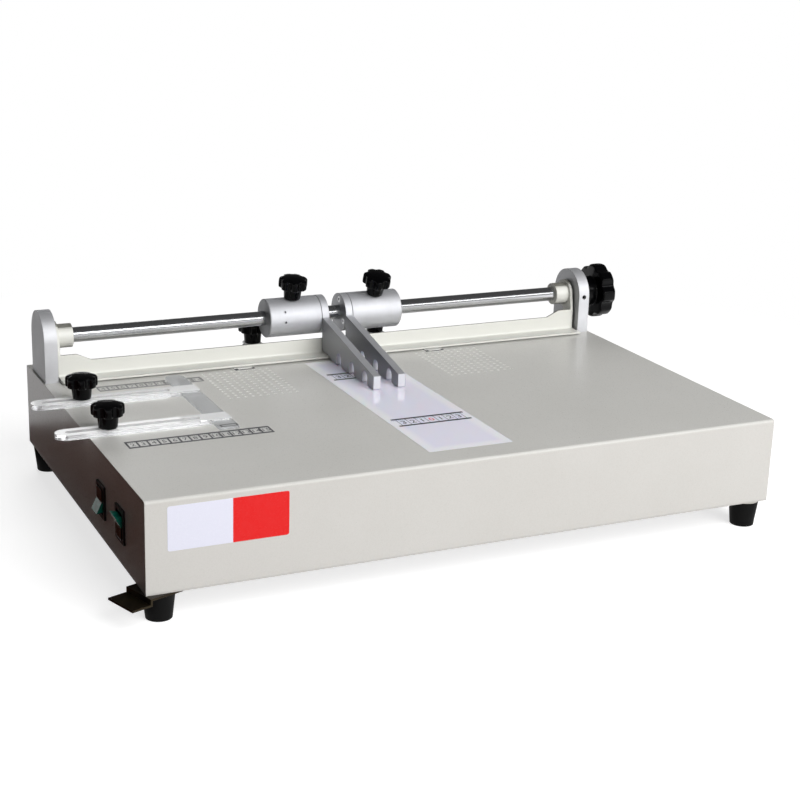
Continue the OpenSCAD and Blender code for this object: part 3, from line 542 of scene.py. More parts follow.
@dataclass(frozen=True)
class OpalPanel(Finish):
    """Glossy opal plate over a lamp box: paler where the box's ledge carries it."""

    inner: Colour
    border: Colour
    middle: Point
    half: Pair
    ledge: float

    def lay(self, graph: Graph) -> None:
        """Lays the plate.

        Args:
            graph: Graph of the material.
        """
        shares = []
        for axis, half in zip((Axis.X, Axis.Y), self.half):
            off = graph.math("SUBTRACT", graph.part(axis), self.middle[axis.value] * MM)
            start = half - self.ledge
            shares.append(graph.span(graph.math("ABSOLUTE", off), (start - 4.0) * MM, (start + 3.0) * MM))
        rim = graph.math("MAXIMUM", *shares)
        inner = graph.mix(graph.levels(graph.noise(40.0, 2.0), 0.0, 0.08), self.inner, self.border)
        graph.set(Base_Color=graph.mix(rim, inner, self.border), Subsurface_Weight=0.15,
                  Subsurface_Scale=0.004, Roughness=graph.levels(graph.noise(5.0), 0.07, 0.13))
        graph.relief(graph.noise(18.0, 1.0), 0.01, 0.3)


@dataclass(frozen=True)
class ClearAcrylic(Finish):
    """Polished clear acrylic that lets lamps through, with its refraction as bend."""

    tint: Colour
    clarity: float = 1.0
    bend: float = 1.49
    haze: float = 0.03

    def lay(self, graph: Graph) -> None:
        """Lays the clear sheet.

        Args:
            graph: Graph of the material.
        """
        graph.set(Base_Color=self.tint, Transmission_Weight=self.clarity, IOR=self.bend,
                  Roughness=graph.span(graph.noise(9.0), 0.35, 0.75, self.haze * 0.7, self.haze))
        graph.let_lamps_through()


@dataclass(frozen=True)
class SawnAcrylic(Finish):
    """Cut edge of clear acrylic: white and silky, with faint saw lines."""

    colour: Colour
    streak: Colour = tone(238, 240, 242)

    def lay(self, graph: Graph) -> None:
        """Lays the cut edge.

        Args:
            graph: Graph of the material.
        """
        lines = graph.noise(0.5, 2.0, graph.stretched((1.0, 1.0, 0.05)))
        colour = graph.mix(graph.levels(lines, 0.0, 0.35), self.colour, self.streak)
        graph.set(Base_Color=colour, Roughness=graph.levels(lines, 0.04, 0.12),
                  Transmission_Weight=0.85, IOR=1.15)
        graph.let_lamps_through()


@dataclass(frozen=True)
class PrintFilm(Finish):
    """Printed or plain film on the machine, with a slight unevenness of the ink."""

    colour: Colour
    worn: Colour
    roughness: float = 0.3

    def lay(self, graph: Graph) -> None:
        """Lays the film.

        Args:
            graph: Graph of the material.
        """
        blots = graph.noise(3.0, 4.0)
        colour = graph.mix(graph.span(blots, 0.4, 0.75, 0.0, 0.4), self.colour, self.worn)
        rough = graph.levels(blots, self.roughness - 0.05, self.roughness + 0.1)
        graph.set(Base_Color=colour, Specular_IOR_Level=0.25, Roughness=rough)
        graph.relief(graph.noise(1.2, 2.0), 0.004)


@dataclass(frozen=True)
class TintedRocker(Finish):
    """Tinted plastic of a lighted rocker, with painted shade on its pressed half: below its pivot or, where
    way is negative, above it.
    """

    way: float
    pivot: float = 67.0
    colour: Colour = tone(22, 140, 118)
    deep: Colour = tone(8, 84, 74)
    # dark is the painted shade of the pressed half, which sits deep in the frame's shadow.
    dark: Colour = tone(12, 22, 21)

    def lay(self, graph: Graph) -> None:
        """Lays the tinted plastic.

        Args:
            graph: Graph of the material.
        """
        clouds = graph.noise(6.0, 2.0)
        tint = graph.mix(graph.span(clouds, 0.35, 0.65, 0.0, 0.7), self.colour, self.deep)
        # Painted shade: the pressed half fades to the colour dark across the pivot.
        ends = ((self.pivot - self.way) * MM, (self.pivot + self.way) * MM)
        lit = graph.span(graph.part(Axis.Z), *ends)
        graph.set(Base_Color=graph.mix(lit, self.dark, tint), Specular_IOR_Level=0.3,
                  Roughness=graph.levels(clouds, 0.14, 0.26))
        graph.relief(graph.noise(1.0), 0.01, 0.5)


class Finishes:
    """The finishes of this machine, each made once."""

    # The cover's high upright faces, the hole walls among them, carry a painted highlight.
    PAINT = PowderCoat("pale_grey_paint", tone(208, 207, 203), tone(198, 197, 192), 0.31, bare_above=112.5)
    BASE = PowderCoat("base_plate_paint", tone(200, 199, 195), tone(190, 189, 184), 0.4)
    # The back rail's top edge carries a painted shade line.
    CREAM = PowderCoat("cream_paint", tone(213, 213, 207), tone(207, 207, 200), 0.4,
                       grain=1.1, depth=0.02, rounding=1.6, cut_above=132.5)
    RUBBER = MouldedPlastic("foot_rubber", tone(7, 7, 7), 0.6, grain=0.6, depth=0.05, rounding=0.8,
                            rub=tone(16, 15, 15), gloss=0.1)
    WHITE = MouldedPlastic("white_plastic", tone(236, 236, 231), 0.45, grain=1.0, rub=tone(218, 217, 210))
    GREY = MouldedPlastic("grey_plastic", tone(196, 196, 191), 0.5, grain=1.0, depth=0.02,
                          rub=tone(176, 176, 170))
    DARK = MouldedPlastic("dark_plastic", tone(44, 44, 45), 0.5, grain=0.9, depth=0.03, rounding=0.5,
                          rub=tone(66, 66, 66))
    BLACK = MouldedPlastic("black_plastic", tone(3, 3, 4), 0.14, grain=1.3, depth=0.002, rounding=0.3,
                           rub=tone(8, 8, 9), gloss=0.16)
    FRAME = MouldedPlastic("switch_plastic", tone(10, 10, 10), 0.34, grain=0.7, rounding=0.5,
                           rub=tone(20, 20, 20), gloss=0.25)
    # Each rocker carries painted shade on its pressed half.
    LIGHT_ROCKER = TintedRocker("light_rocker_tint", -1.0)
    BLOWER_ROCKER = TintedRocker("blower_rocker_tint", 1.0)
    # The lug's zinc colours are darkened far below yellow zinc: painted shade for the shadow the lug sits in.
    LUG = PassivatedZinc("olive_zinc", tone(40, 34, 24), tone(62, 52, 33), tone(38, 28, 27))
    ZINC = MachinedMetal("plated_zinc", tone(186, 184, 176), 0.34, NO_GRAIN, pitch=1.4)
    CASE = MachinedMetal("plain_sheet", tone(200, 200, 197), 0.42, (0.05, 1.0, 1.0), pitch=0.6)
    MOTOR = MachinedMetal("motor_can", tone(160, 161, 164), 0.36, (1.0, 0.05, 0.05), pitch=0.8)
    # On the end plates, collars and arms, ends paints shade on the faces that look along X.
    ALUMINIUM = MachinedMetal("satin_aluminium", tone(208, 209, 212), 0.5, (0.02, 1.0, 1.0), pitch=0.5,
                              metallic=0.7, ends=0.46)
    TURNED = MachinedMetal("turned_aluminium", tone(208, 209, 213), 0.52, (1.0, 0.01, 0.01), pitch=0.3,
                           metallic=0.75, ends=0.6)
    ARM = MachinedMetal("milled_aluminium", tone(212, 213, 217), 0.5, (1.0, 0.03, 1.0), pitch=0.4,
                        rounding=0.9, metallic=0.75, ends=0.43)
    CHROME = MachinedMetal("ground_chrome", tone(224, 225, 228), 0.2, (1.0, 0.02, 0.02), pitch=0.25,
                           depth=0.0, stain=0.05, spread=0.008)
    STEEL = MachinedMetal("plain_steel", tone(196, 197, 199), 0.28, NO_GRAIN, pitch=0.9)
    BLACK_STEEL = MachinedMetal("blackened_steel", tone(46, 46, 48), 0.4, NO_GRAIN, pitch=0.8)
    BRONZE = MachinedMetal("sintered_bronze", tone(196, 150, 86), 0.45, NO_GRAIN, pitch=0.4, depth=0.02)
    THREAD = ThreadedSteel("threaded_steel", tone(196, 197, 199))
    # The strips' tops are mostly white rather than clear: in part a painted sheen for the light they mirror.
    CLEAR = ClearAcrylic("frosted_acrylic", (0.98, 0.985, 0.99), clarity=0.15)
    BAR = ClearAcrylic("bar_acrylic", (0.54, 0.545, 0.55), clarity=0.5, bend=1.1)
    TONGUE = ClearAcrylic("tongue_acrylic", (0.97, 0.97, 0.97), clarity=0.97, bend=1.05)
    EDGE = SawnAcrylic("sawn_acrylic", tone(250, 250, 251))
    # INK prints the scales and also paints the shade on the rear tongues' corners.
    INK = PrintFilm("dark_ink", tone(48, 48, 52), tone(74, 74, 78), 0.5)
    GREY_INK = PrintFilm("grey_ink", tone(84, 84, 87), tone(104, 104, 106), 0.5)
    PALE_INK = PrintFilm("pale_ink", tone(132, 132, 132), tone(150, 150, 150), 0.5)
    # RIM paints the highlight round the suction holes.
    RIM = PrintFilm("bright_rim", tone(234, 234, 230), tone(224, 224, 220), 0.3)
    RED_INK = PrintFilm("red_ink", tone(214, 60, 72), tone(220, 100, 106), 0.45)
    SCALE = PrintFilm("scale_film", tone(212, 212, 209), tone(204, 204, 200), 0.2)
    PLATE_WHITE = PrintFilm("white_film", tone(228, 230, 244), tone(222, 224, 238), 0.22)
    PLATE_RED = PrintFilm("red_film", tone(228, 36, 36), tone(220, 30, 32), 0.22)

    def __init__(self) -> None:
        """Starts with no materials made."""
        self._made: dict[str, Material] = {}

    def get(self, finish: Finish) -> Material:
        """Gives a finish's material, made on its first use.

        Args:
            finish: The finish.

        Returns:
            Its material.
        """
        if finish.name not in self._made:
            self._made[finish.name] = finish.material()
        return self._made[finish.name]


def deselect() -> None:
    """Deselects every object, because operators act on all that is selected."""
    bpy.ops.object.select_all(action="DESELECT")


class Shaper:
    """Shapes one mesh with Blender's own edit tools, as by hand."""

    def __init__(self, name: str) -> None:
        """Deselects everything before a new piece.

        Args:
            name: Name of the piece.
        """
        self.name = name
        self.obj: Piece
        deselect()

    def _begin(self) -> Shaper:
        """Takes the new primitive as the piece, with its place in its mesh."""
        self.obj = bpy.context.active_object
        self.obj.name = self.name
        self.obj.data.name = self.name
        bpy.ops.object.transform_apply(location=True, rotation=True, scale=True)
        bpy.ops.object.mode_set(mode="EDIT")
        return self

    def block(self, low: Point, high: Point) -> Shaper:
        """Starts from a box.

        Args:
            low: Lowest corner in millimetres.
            high: Highest corner in millimetres.

        Returns:
            This shaper.
        """
        middle = [(a + b) / 2 * MM for a, b in zip(low, high)]
        sides = [(b - a) * MM for a, b in zip(low, high)]
        bpy.ops.mesh.primitive_cube_add(size=1.0, location=middle, scale=sides)
        return self._begin()

    def disc(self, radius: float, points: int, height: float) -> Shaper:
        """Starts from a filled circle round the Z axis.

        Args:
            radius: Radius in millimetres.
            points: Points on the circle.
            height: Its height in millimetres.

        Returns:
            This shaper.
        """
        bpy.ops.mesh.primitive_circle_add(vertices=points, radius=radius * MM, fill_type="NGON",
                                          location=(0, 0, height * MM))
        return self._begin()

    def _select(self, mode: str, test: Callable[[object], bool]) -> int:
        """Selects mesh elements in code.

        Args:
            mode: VERT, EDGE or FACE.
            test: Says whether an element is wanted.

        Returns:
            How many were selected.
        """
        bpy.ops.mesh.select_mode(type=mode)
        bpy.ops.mesh.select_all(action="DESELECT")
        mesh = bmesh.from_edit_mesh(self.obj.data)
        mesh.normal_update()
        items = {"VERT": mesh.verts, "EDGE": mesh.edges, "FACE": mesh.faces}[mode]
        wanted = [item for item in items if test(item)]
        for item in wanted:
            item.select_set(True)
        mesh.select_flush_mode()
        bmesh.update_edit_mesh(self.obj.data)
        return len(wanted)

    def faces(self, test: Callable[[Vector, Vector], bool]) -> int:
        """Selects faces by their middle in millimetres and their normal."""
        return self._select("FACE", lambda f: test(f.calc_center_median() / MM, f.normal))

    def edges(self, test: Callable[[Vector, Vector], bool]) -> int:
        """Selects edges by their middle in millimetres and their direction."""
        return self._select("EDGE", lambda e: test((e.verts[0].co + e.verts[1].co) / 2 / MM,
                                                   (e.verts[1].co - e.verts[0].co).normalized()))

    def along(self, axis: Axis, test: Callable[[Vector], bool] | None = None) -> Shaper:
        """Selects the edges along an axis, or those of them whose middle passes a test."""
        self.edges(lambda middle, way: abs(way[axis.value]) > SQUARE and (test is None or test(middle)))
        return self

    def points(self, test: Callable[[Vector], bool]) -> int:
        """Selects points by their place in millimetres."""
        return self._select("VERT", lambda v: test(v.co / MM))

    def extrude(self, move: Point) -> Shaper:
        """Extrudes the selection by a move in millimetres."""
        bpy.ops.mesh.extrude_region_move(TRANSFORM_OT_translate={"value": tuple(m * MM for m in move)})
        return self

    def resize(self, share: Point, centre: Point) -> Shaper:
        """Scales the selection about a point in millimetres."""
        bpy.ops.transform.resize(value=share, center_override=tuple(c * MM for c in centre))
        return self

    def bevel(self, width: float, segments: int) -> Shaper:
        """Rounds the selected edges."""
        bpy.ops.mesh.bevel(offset=width * MM, offset_type="OFFSET", segments=segments, affect="EDGES",
                           clamp_overlap=False)
        return self

    def bisect(self, place: Point, normal: Point) -> Shaper:
        """Cuts the whole mesh along a plane."""
        bpy.ops.mesh.select_all(action="SELECT")
        bpy.ops.mesh.bisect(plane_co=tuple(p * MM for p in place), plane_no=normal)
        return self

    def ring(self, wall: float, centre: Point) -> Shaper:
        """Cuts the middle out of a flat piece and leaves a rim.

        Args:
            wall: Width of the rim in millimetres.
            centre: Middle of the piece in millimetres.

        Returns:
            This shaper.
        """
        self.faces(lambda middle, normal: abs(normal.z) > SQUARE)
        bpy.ops.mesh.inset(thickness=wall * MM)
        axis = Vector(centre).to_2d()
        self.faces(lambda middle, normal: abs(normal.z) > SQUARE and (middle.to_2d() - axis).length < 0.5)
        bpy.ops.mesh.bridge_edge_loops()
        return self

    def paint(self, slot: int, test: Callable[[Vector, Vector], bool]) -> Shaper:
        """Gives the faces that pass a test another material slot."""
        if self.faces(test):
            self.obj.active_material_index = slot
            bpy.ops.object.material_slot_assign()
        return self

    def slots(self, *materials: Material) -> Shaper:
        """Gives the piece its materials."""
        for material in materials:
            self.obj.data.materials.append(material)
        return self

    def _apply(self, kind: str, **settings: object) -> Shaper:
        """Gives the piece a modifier and applies it.

        Args:
            kind: Blender's type name of the modifier.
            settings: Options of the modifier by name.

        Returns:
            This shaper.
        """
        bpy.ops.object.mode_set(mode="OBJECT")
        bpy.context.view_layer.objects.active = self.obj
        tool = self.obj.modifiers.new(kind.lower(), kind)
        for key, value in settings.items():
            setattr(tool, key, value)
        bpy.ops.object.modifier_apply(modifier=tool.name)
        bpy.ops.object.mode_set(mode="EDIT")
        return self

    def cut(self, other: Piece) -> Shaper:
        """Cuts another object out of the piece and removes that object."""
        self._apply("BOOLEAN", object=other, operation="DIFFERENCE", solver="EXACT")
        bpy.data.objects.remove(other)
        return self

    def soften(self, width: float, segments: int = 2) -> Shaper:
        """Rounds all sharp edges with an applied bevel."""
        return self._apply("BEVEL", width=width * MM, segments=segments, limit_method="ANGLE",
                           angle_limit=math.radians(40))

    def smooth(self, levels: int) -> Shaper:
        """Subdivides the surface and applies it."""
        return self._apply("SUBSURF", levels=levels, render_levels=levels)

    def done(self, angle: float = 35.0) -> Piece:
        """Closes the mesh, turns its faces outwards and leaves edit mode.

        Args:
            angle: Edges sharper than this many degrees stay sharp.

        Returns:
            The finished object.
        """
        bpy.ops.mesh.select_mode(type="VERT")
        bpy.ops.mesh.select_all(action="SELECT")
        bpy.ops.mesh.remove_doubles(threshold=1e-7)
        bpy.ops.mesh.normals_make_consistent(inside=False)
        bpy.ops.object.mode_set(mode="OBJECT")
        deselect()
        self.obj.select_set(True)
        bpy.context.view_layer.objects.active = self.obj
        bpy.ops.object.shade_smooth_by_angle(angle=math.radians(angle))
        return self.obj


def own_copy(source: Piece, name: str) -> Piece:
    """Copies a piece together with its mesh.

    Args:
        source: The modelled piece.
        name: Name of the copy.

    Returns:
        The copy.
    """
    twin = source.copy()
    twin.data = source.data.copy()
    twin.name = name
    twin.data.name = name
    bpy.context.scene.collection.objects.link(twin)
    return twin


def joined(pieces: Sequence[Piece], name: str) -> Piece:
    """Joins pieces into one.

    Args:
        pieces: The pieces, the first of which keeps its materials first.
        name: Name of the whole.

    Returns:
        The joined piece.
    """
    deselect()
    for piece in pieces:
        piece.select_set(True)
    bpy.context.view_layer.objects.active = pieces[0]
    if len(pieces) > 1:
        bpy.ops.object.join()
    pieces[0].name = name
    pieces[0].data.name = name
    return pieces[0]


class Bench:
    """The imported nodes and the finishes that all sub-assemblies share. It logs each piece."""

    def __init__(self, frame: dict) -> None:
        """Keeps the frame's nodes.
        """
        self.nodes: dict[str, Piece] = frame["nodes"]
        self.finishes = Finishes()

    def material(self, finish: Finish) -> Material:
        """Gives a finish's material."""
        return self.finishes.get(finish)

    def dress(self, finish: Finish, *names: str) -> None:
        """Gives CAD nodes a finish.

        Args:
            finish: The finish.
            names: Names of the nodes.
        """
        for name in names:
            materials = self.nodes[name].data.materials
            materials.clear()
            materials.append(self.material(finish))
            LOG.info("%s: CAD solid in %s", name, finish.name)

    def mount(self, piece: Piece, body: str, stands_for: Iterable[str] = ()) -> None:
        """Puts a new piece on a body.

        Args:
            piece: The piece.
            body: Name of the CAD body.
            stands_for: CAD nodes that the piece replaces.
        """
        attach(piece, body)
        if stands_for:
            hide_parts(*stands_for)
        LOG.info("%s: modelled, %d faces, rides on %s", piece.name, len(piece.data.polygons), body)


class Assembly:
    """A sub-assembly of the machine."""

    def dress(self, bench: Bench) -> None:
        """Gives its CAD solids their finishes."""

    def build(self, bench: Bench) -> None:
        """Models its new pieces and puts them on their bodies."""


@dataclass(frozen=True)
class StarKnob:
    """A lobed knob with a hub, standing on the foot of its hub.

    The head's top is domed by crown. The hollows between the lobes have the radius flute, and their
    centres lie outside the head by the share reach_in of it. A stud may go down from the foot.
    """

    across: float
    head: float
    hub: float
    hub_across: float
    foot_across: float
    lobes: int
    crown: float
    flute: float
    stud_across: float = 0.0
    stud: float = 0.0
    steps: int = 16
    rim: float = 0.12
    reach_in: float = 0.26

    def rings(self) -> list[Pair]:
        """Gives radius and height of each ring from the stud's end to the crown.

        Returns:
            The rings, in millimetres.
        """
        outer, hub, foot = self.across / 2, self.hub_across / 2, self.foot_across / 2
        soft, top = self.head * self.rim, self.hub + self.head
        edge = top - self.crown
        rings = []
        if self.stud:
            bolt = self.stud_across / 2
            rings += [(bolt * 0.8, -self.stud), (bolt, -self.stud + 0.6), (bolt, -0.4), (bolt, 0.0)]
        rings += [
            (foot - 1.4, 0.0), (foot - 0.4, 0.3), (foot, 1.3),
            (hub, self.hub - 1.3), (hub + 0.4, self.hub - 0.3), (hub + 1.4, self.hub),
            (outer - soft, self.hub), (outer - soft * 0.3, self.hub + soft * 0.3), (outer, self.hub + soft),
            (outer, edge - soft), (outer - soft * 0.3, edge - soft * 0.3),
            (outer - soft, edge + self.crown * 0.12), (outer * 0.62, top - self.crown * 0.42),
            (outer * 0.34, top - self.crown * 0.12), (outer * 0.1, top),
        ]
        return rings

    def limit(self, angle: float) -> float:
        """Gives how far out the head may reach at an angle from a flute's middle.

        Args:
            angle: Angle in radians.

        Returns:
            The radius in millimetres.
        """
        centre = self.across / 2 + self.flute * self.reach_in
        inside = self.flute ** 2 - (centre * math.sin(angle)) ** 2
        return centre * math.cos(angle) - math.sqrt(inside) if inside > 0 else self.across

    def build(self, name: str, *materials: Material) -> Piece:
        """Models the knob on the Z axis: rings are extruded and scaled, then the flutes are pressed in.

        Args:
            name: Name of the piece.
            materials: The knob's material and, if it has a stud, the stud's.

        Returns:
            The knob, with its hub's foot at the origin.
        """
        rings = self.rings()
        points = self.steps * self.lobes
        shaper = Shaper(name).disc(rings[0][0], points, rings[0][1])
        bpy.ops.mesh.select_all(action="SELECT")
        for (radius, height), (wider, higher) in zip(rings, rings[1:]):
            shaper.extrude((0, 0, higher - height))
            share = wider / radius
            shaper.resize((share, share, 1.0), (0, 0, higher))
        pitch = 2 * math.pi / self.lobes
        for step in range(self.steps // 2):
            offset = step * 2 * math.pi / points
            reach = self.limit(offset)
            for radius, height in rings:
                if radius > reach and height >= self.hub - 0.01:
                    self._press(shaper, height, offset, pitch, reach / radius)
        shaper.slots(*materials)
        if len(materials) > 1:
            shaper.paint(1, lambda middle, normal: middle.z < -0.2)
        return shaper.smooth(1).done(60.0)

    def _press(self, shaper: Shaper, height: float, offset: float, pitch: float, share: float) -> None:
        """Moves the points of one ring that lie at one offset from the flutes towards the axis.

        Args:
            shaper: The knob's shaper.
            height: Height of the ring in millimetres.
            offset: Offset from a flute's middle in radians.
            pitch: Angle between flutes in radians.
            share: How much of their radius the points keep.
        """
        def wanted(place: Vector) -> bool:
            """Says whether a point lies on the ring at the offset."""
            if abs(place.z - height) > 1e-3 or math.hypot(place.x, place.y) < self.hub_across / 2:
                return False
            angle = (math.atan2(place.y, place.x) - pitch / 2) % pitch
            return abs(min(angle, pitch - angle) - offset) < 1e-3

        if shaper.points(wanted):
            shaper.resize((share, share, 1.0), (0, 0, height))


@dataclass
class PrintedScale:
    """A printed scale: an optional film, two long lines, dividers, ticks and plain numbers."""

    name: str
    low: Pair
    high: Pair
    level: float
    first: int
    film: bool = True
    line: float = 1.3
    divider: float = 0.5
    tick: float = 0.25
    tick_depth: float = 3.0
    ticks: int = 5
    digits: float = 6.0
    box: float = 10.0
    thick: float = 0.06
    corner: float = 1.0
    centred: bool = False
    ink: Finish = Finishes.INK

    def _ink_level(self) -> float:
        """Gives the height of the ink's underside."""
        return self.level + (self.thick if self.film else 0.0)

    def _bar(self, name: str, x: float, y: float, w: float, d: float) -> Piece:
        """Models one inked bar with softened corners.

        Args:
            name: Name of the bar.
            x: Its left side.
            y: Its front side.
            w: Its width.
            d: Its depth.

        Returns:
            The bar.
        """
        base = self._ink_level()
        shaper = Shaper(name).block((x, y, base), (x + w, y + d, base + self.thick))
        return shaper.along(Axis.Z).bevel(min(w, d) * 0.2, 1).done()

    def _digit(self, number: int, x: float, y: float) -> Piece:
        """Writes one number flat on the scale.

        Args:
            number: The number.
            x: Its middle.
            y: Its foot.

        Returns:
            The number as a mesh.
        """
        deselect()
        base = self._ink_level()
        bpy.ops.object.text_add(location=(x * MM, y * MM, (base + self.thick / 2) * MM))
        text = bpy.context.active_object
        text.data.body = str(number)
        text.data.size = self.digits * TYPE_PER_DIGIT * MM
        text.data.align_x = "CENTER"
        text.data.extrude = self.thick / 2 * MM
        text.data.resolution_u = 2
        bpy.ops.object.convert(target="MESH")
        bpy.ops.object.transform_apply(location=True, rotation=True, scale=True)
        return bpy.context.active_object

    def build(self, bench: Bench, body: str) -> None:
        """Models the film, the ink and the numbers and puts them on a body.

        Args:
            bench: The bench.
            body: Name of the CAD body that carries the scale.
        """
        if self.film:
            top = self.level + self.thick
            shaper = Shaper(f"{self.name}_film").block((*self.low, self.level), (*self.high, top))
            film = shaper.along(Axis.Z).bevel(self.corner, 3).slots(bench.material(Finishes.SCALE)).done()
            bench.mount(film, body)
        left, right = self.low[0], self.high[0]
        count = round((right - left) / self.box)
        start = (left + right - count * self.box) / 2
        self._lines(bench, body, count, start)
        self._numbers(bench, body, count, start)

    def _lines(self, bench: Bench, body: str, count: int, start: float) -> None:
        """Models the two long lines, the dividers and the ticks.

        Args:
            bench: The bench.
            body: Name of the CAD body that carries the scale.
            count: How many boxes the scale has.
            start: Where the first box starts.
        """
        (x0, y0), (x1, y1) = self.low, self.high
        shift = self.box / 2 if self.centred else 0.0
        bars = [self._bar("line", x0, y, x1 - x0, self.line) for y in (y0, y1 - self.line)]
        left, depth = start + shift - self.divider / 2, y1 - y0 - 2 * self.line
        first = self._bar("divider", left, y0 + self.line, self.divider, depth)
        foot = y1 - self.line - self.tick_depth
        tick = self._bar("tick", start - self.tick / 2, foot, self.tick, self.tick_depth)
        for source, parts in ((first, 1), (tick, self.ticks)):
            for i in range(1, count * parts + (0 if self.centred else 1)):
                twin = own_copy(source, f"{source.name}_{i}")
                twin.data.transform(Matrix.Translation((i * (self.box / parts) * MM, 0, 0)))
                bars.append(twin)
        ink = joined([first, tick, *bars], f"{self.name}_lines")
        ink.data.materials.append(bench.material(self.ink))
        bench.mount(ink, body)

    def _numbers(self, bench: Bench, body: str, count: int, start: float) -> None:
        """Writes the numbers, which count both ways from a red zero on a centred scale.

        Args:
            bench: The bench.
            body: Name of the CAD body that carries the scale.
            count: How many boxes the scale has.
            start: Where the first box starts.
        """
        foot = (self.low[1] + self.high[1]) / 2 - self.digits / 2
        marks: dict[bool, list[Piece]] = {True: [], False: []}
        for i in range(1 if self.centred else 0, count):
            number = abs(i - count // 2) if self.centred else self.first + i
            x = start + (i if self.centred else i + 0.5) * self.box
            marks[self.centred and number == 0].append(self._digit(number, x, foot))
        for red, digits in marks.items():
            if digits:
                figures = joined(digits, f"{self.name}_{'zero' if red else 'numbers'}")
                figures.data.materials.clear()
                figures.data.materials.append(bench.material(Finishes.RED_INK if red else self.ink))
                bench.mount(figures, body)


@dataclass
class TableBody(Assembly):
    """The folded body with its feet, lug, switches, inlet, blank plate and table scales."""

    front: float = -210.979
    plate_x: tuple[float, float, float] = (-305.3, -246.6, -194.6)
    plate_z: Pair = (66.2, 107.2)
    plate_thick: float = 0.2
    plate_corner: float = 2.0
    front_scale: Area = (-299.0, -77.0, -157.0, -57.5)
    rear_scale: Area = (-278.0, 102.0, -167.0, 119.0)

    def dress(self, bench: Bench) -> None:
        """Gives the CAD solids of the body their finishes."""
        bench.dress(Finishes.PAINT, "cover")
        bench.dress(Finishes.BASE, "base_plate")
        bench.dress(Finishes.RUBBER, "feet")
        bench.dress(Finishes.ZINC, "foot_washers", "foot_screws", "foot_nuts")
        bench.dress(Finishes.LUG, "hold_down_lug")
        bench.dress(Finishes.FRAME, "switch_frames", "mains_inlet")
        bench.dress(Finishes.LIGHT_ROCKER, "light_rocker")
        bench.dress(Finishes.BLOWER_ROCKER, "blower_rocker")

    def build(self, bench: Bench) -> None:
        """Models the blank plate on the front and the two scales on the table."""
        x0, middle, x1 = self.plate_x
        z0, z1 = self.plate_z
        shaper = Shaper("blank_plate").block((x0, self.front - self.plate_thick, z0), (x1, self.front, z1))
        shaper.along(Axis.Y).bevel(self.plate_corner, 4).bisect((middle, 0, 0), (1, 0, 0))
        shaper.slots(bench.material(Finishes.PLATE_WHITE), bench.material(Finishes.PLATE_RED))
        shaper.paint(1, lambda place, normal: place.x > middle + 0.01)
        bench.mount(shaper.soften(0.06, 1).done(), "table")
        for name, scale, first, ink in (
            ("front_scale", self.front_scale, 2, Finishes.GREY_INK),
            ("rear_scale", self.rear_scale, 4, Finishes.PALE_INK),
        ):
            ruler = PrintedScale(name, scale[:2], scale[2:], TABLE_TOP, first, line=3.4, divider=1.9,
                                 digits=7.5, ink=ink)
            ruler.build(bench, "table")


@dataclass
class LightTable(Assembly):
    """The opal panel, its lamp box and its two printed centre scales."""

    middle: Point = (0.0, -25.479, 111.5)
    half: Pair = (44.0, 154.5)
    ledge: float = 9.0
    inner: Colour = tone(240, 238, 254)
    border: Colour = tone(249, 248, 255)
    scale_x: Pair = (-38.4, 40.2)
    front_y: Pair = (-103.4, -80.2)
    rear_y: Pair = (59.2, 82.0)

    def dress(self, bench: Bench) -> None:
        """Gives the panel and the lamp box their finishes."""
        opal = OpalPanel("opal_panel", self.inner, self.border, self.middle, self.half, self.ledge)
        bench.dress(opal, "light_panel")
        bench.dress(Finishes.WHITE, "light_box", "led_board")
        bench.dress(Finishes.CASE, "led_driver")

    def build(self, bench: Bench) -> None:
        """Models the two scales on the panel."""
        for name, (low, high) in (("panel_front_scale", self.front_y), ("panel_rear_scale", self.rear_y)):
            left, right = self.scale_x
            ruler = PrintedScale(name, (left, low), (right, high), TABLE_TOP, 0, film=False, line=3.2,
                                 digits=9.0, centred=True)
            ruler.build(bench, "table")


@dataclass
class SuctionSystem(Assembly):
    """Suction boxes, duct and blower inside the body, and bright rims round the suction holes: a painted
    highlight for the lit, unpainted walls of the holes.
    """

    field_x: Pair = (89.0, 161.0)
    field_y: Pair = (37.021, 125.021)
    pitch: float = 8.0
    hole: float = 1.25
    rim: float = 0.55
    thick: float = 0.05

    def dress(self, bench: Bench) -> None:
        """Gives the air parts their finishes."""
        bench.dress(Finishes.GREY, "left_suction_box", "right_suction_box")
        bench.dress(Finishes.DARK, "air_duct", "blower_housing", "blower_wheel")
        bench.dress(Finishes.MOTOR, "blower_motor")

    def build(self, bench: Bench) -> None:
        """Models one bright rim, a painted highlight, and puts a copy of it round each suction hole."""
        model = Shaper("hole_rim").disc(self.hole + self.rim, 8, TABLE_TOP)
        bpy.ops.mesh.select_all(action="SELECT")
        model.extrude((0, 0, self.thick)).ring(self.rim, (0, 0, TABLE_TOP))
        first = model.slots(bench.material(Finishes.RIM)).done()
        rims = []
        columns = round((self.field_x[1] - self.field_x[0]) / self.pitch) + 1
        rows = round((self.field_y[1] - self.field_y[0]) / self.pitch) + 1
        for column in range(columns):
            for row in range(rows):
                x, y = self.field_x[0] + column * self.pitch, self.field_y[0] + row * self.pitch
                for side in (-x, x):
                    twin = own_copy(first, "hole_rim_copy")
                    twin.data.transform(Matrix.Translation((side * MM, y * MM, 0)))
                    rims.append(twin)
        bpy.data.objects.remove(first)
        bench.mount(joined(rims, "suction_hole_rims"), "table")


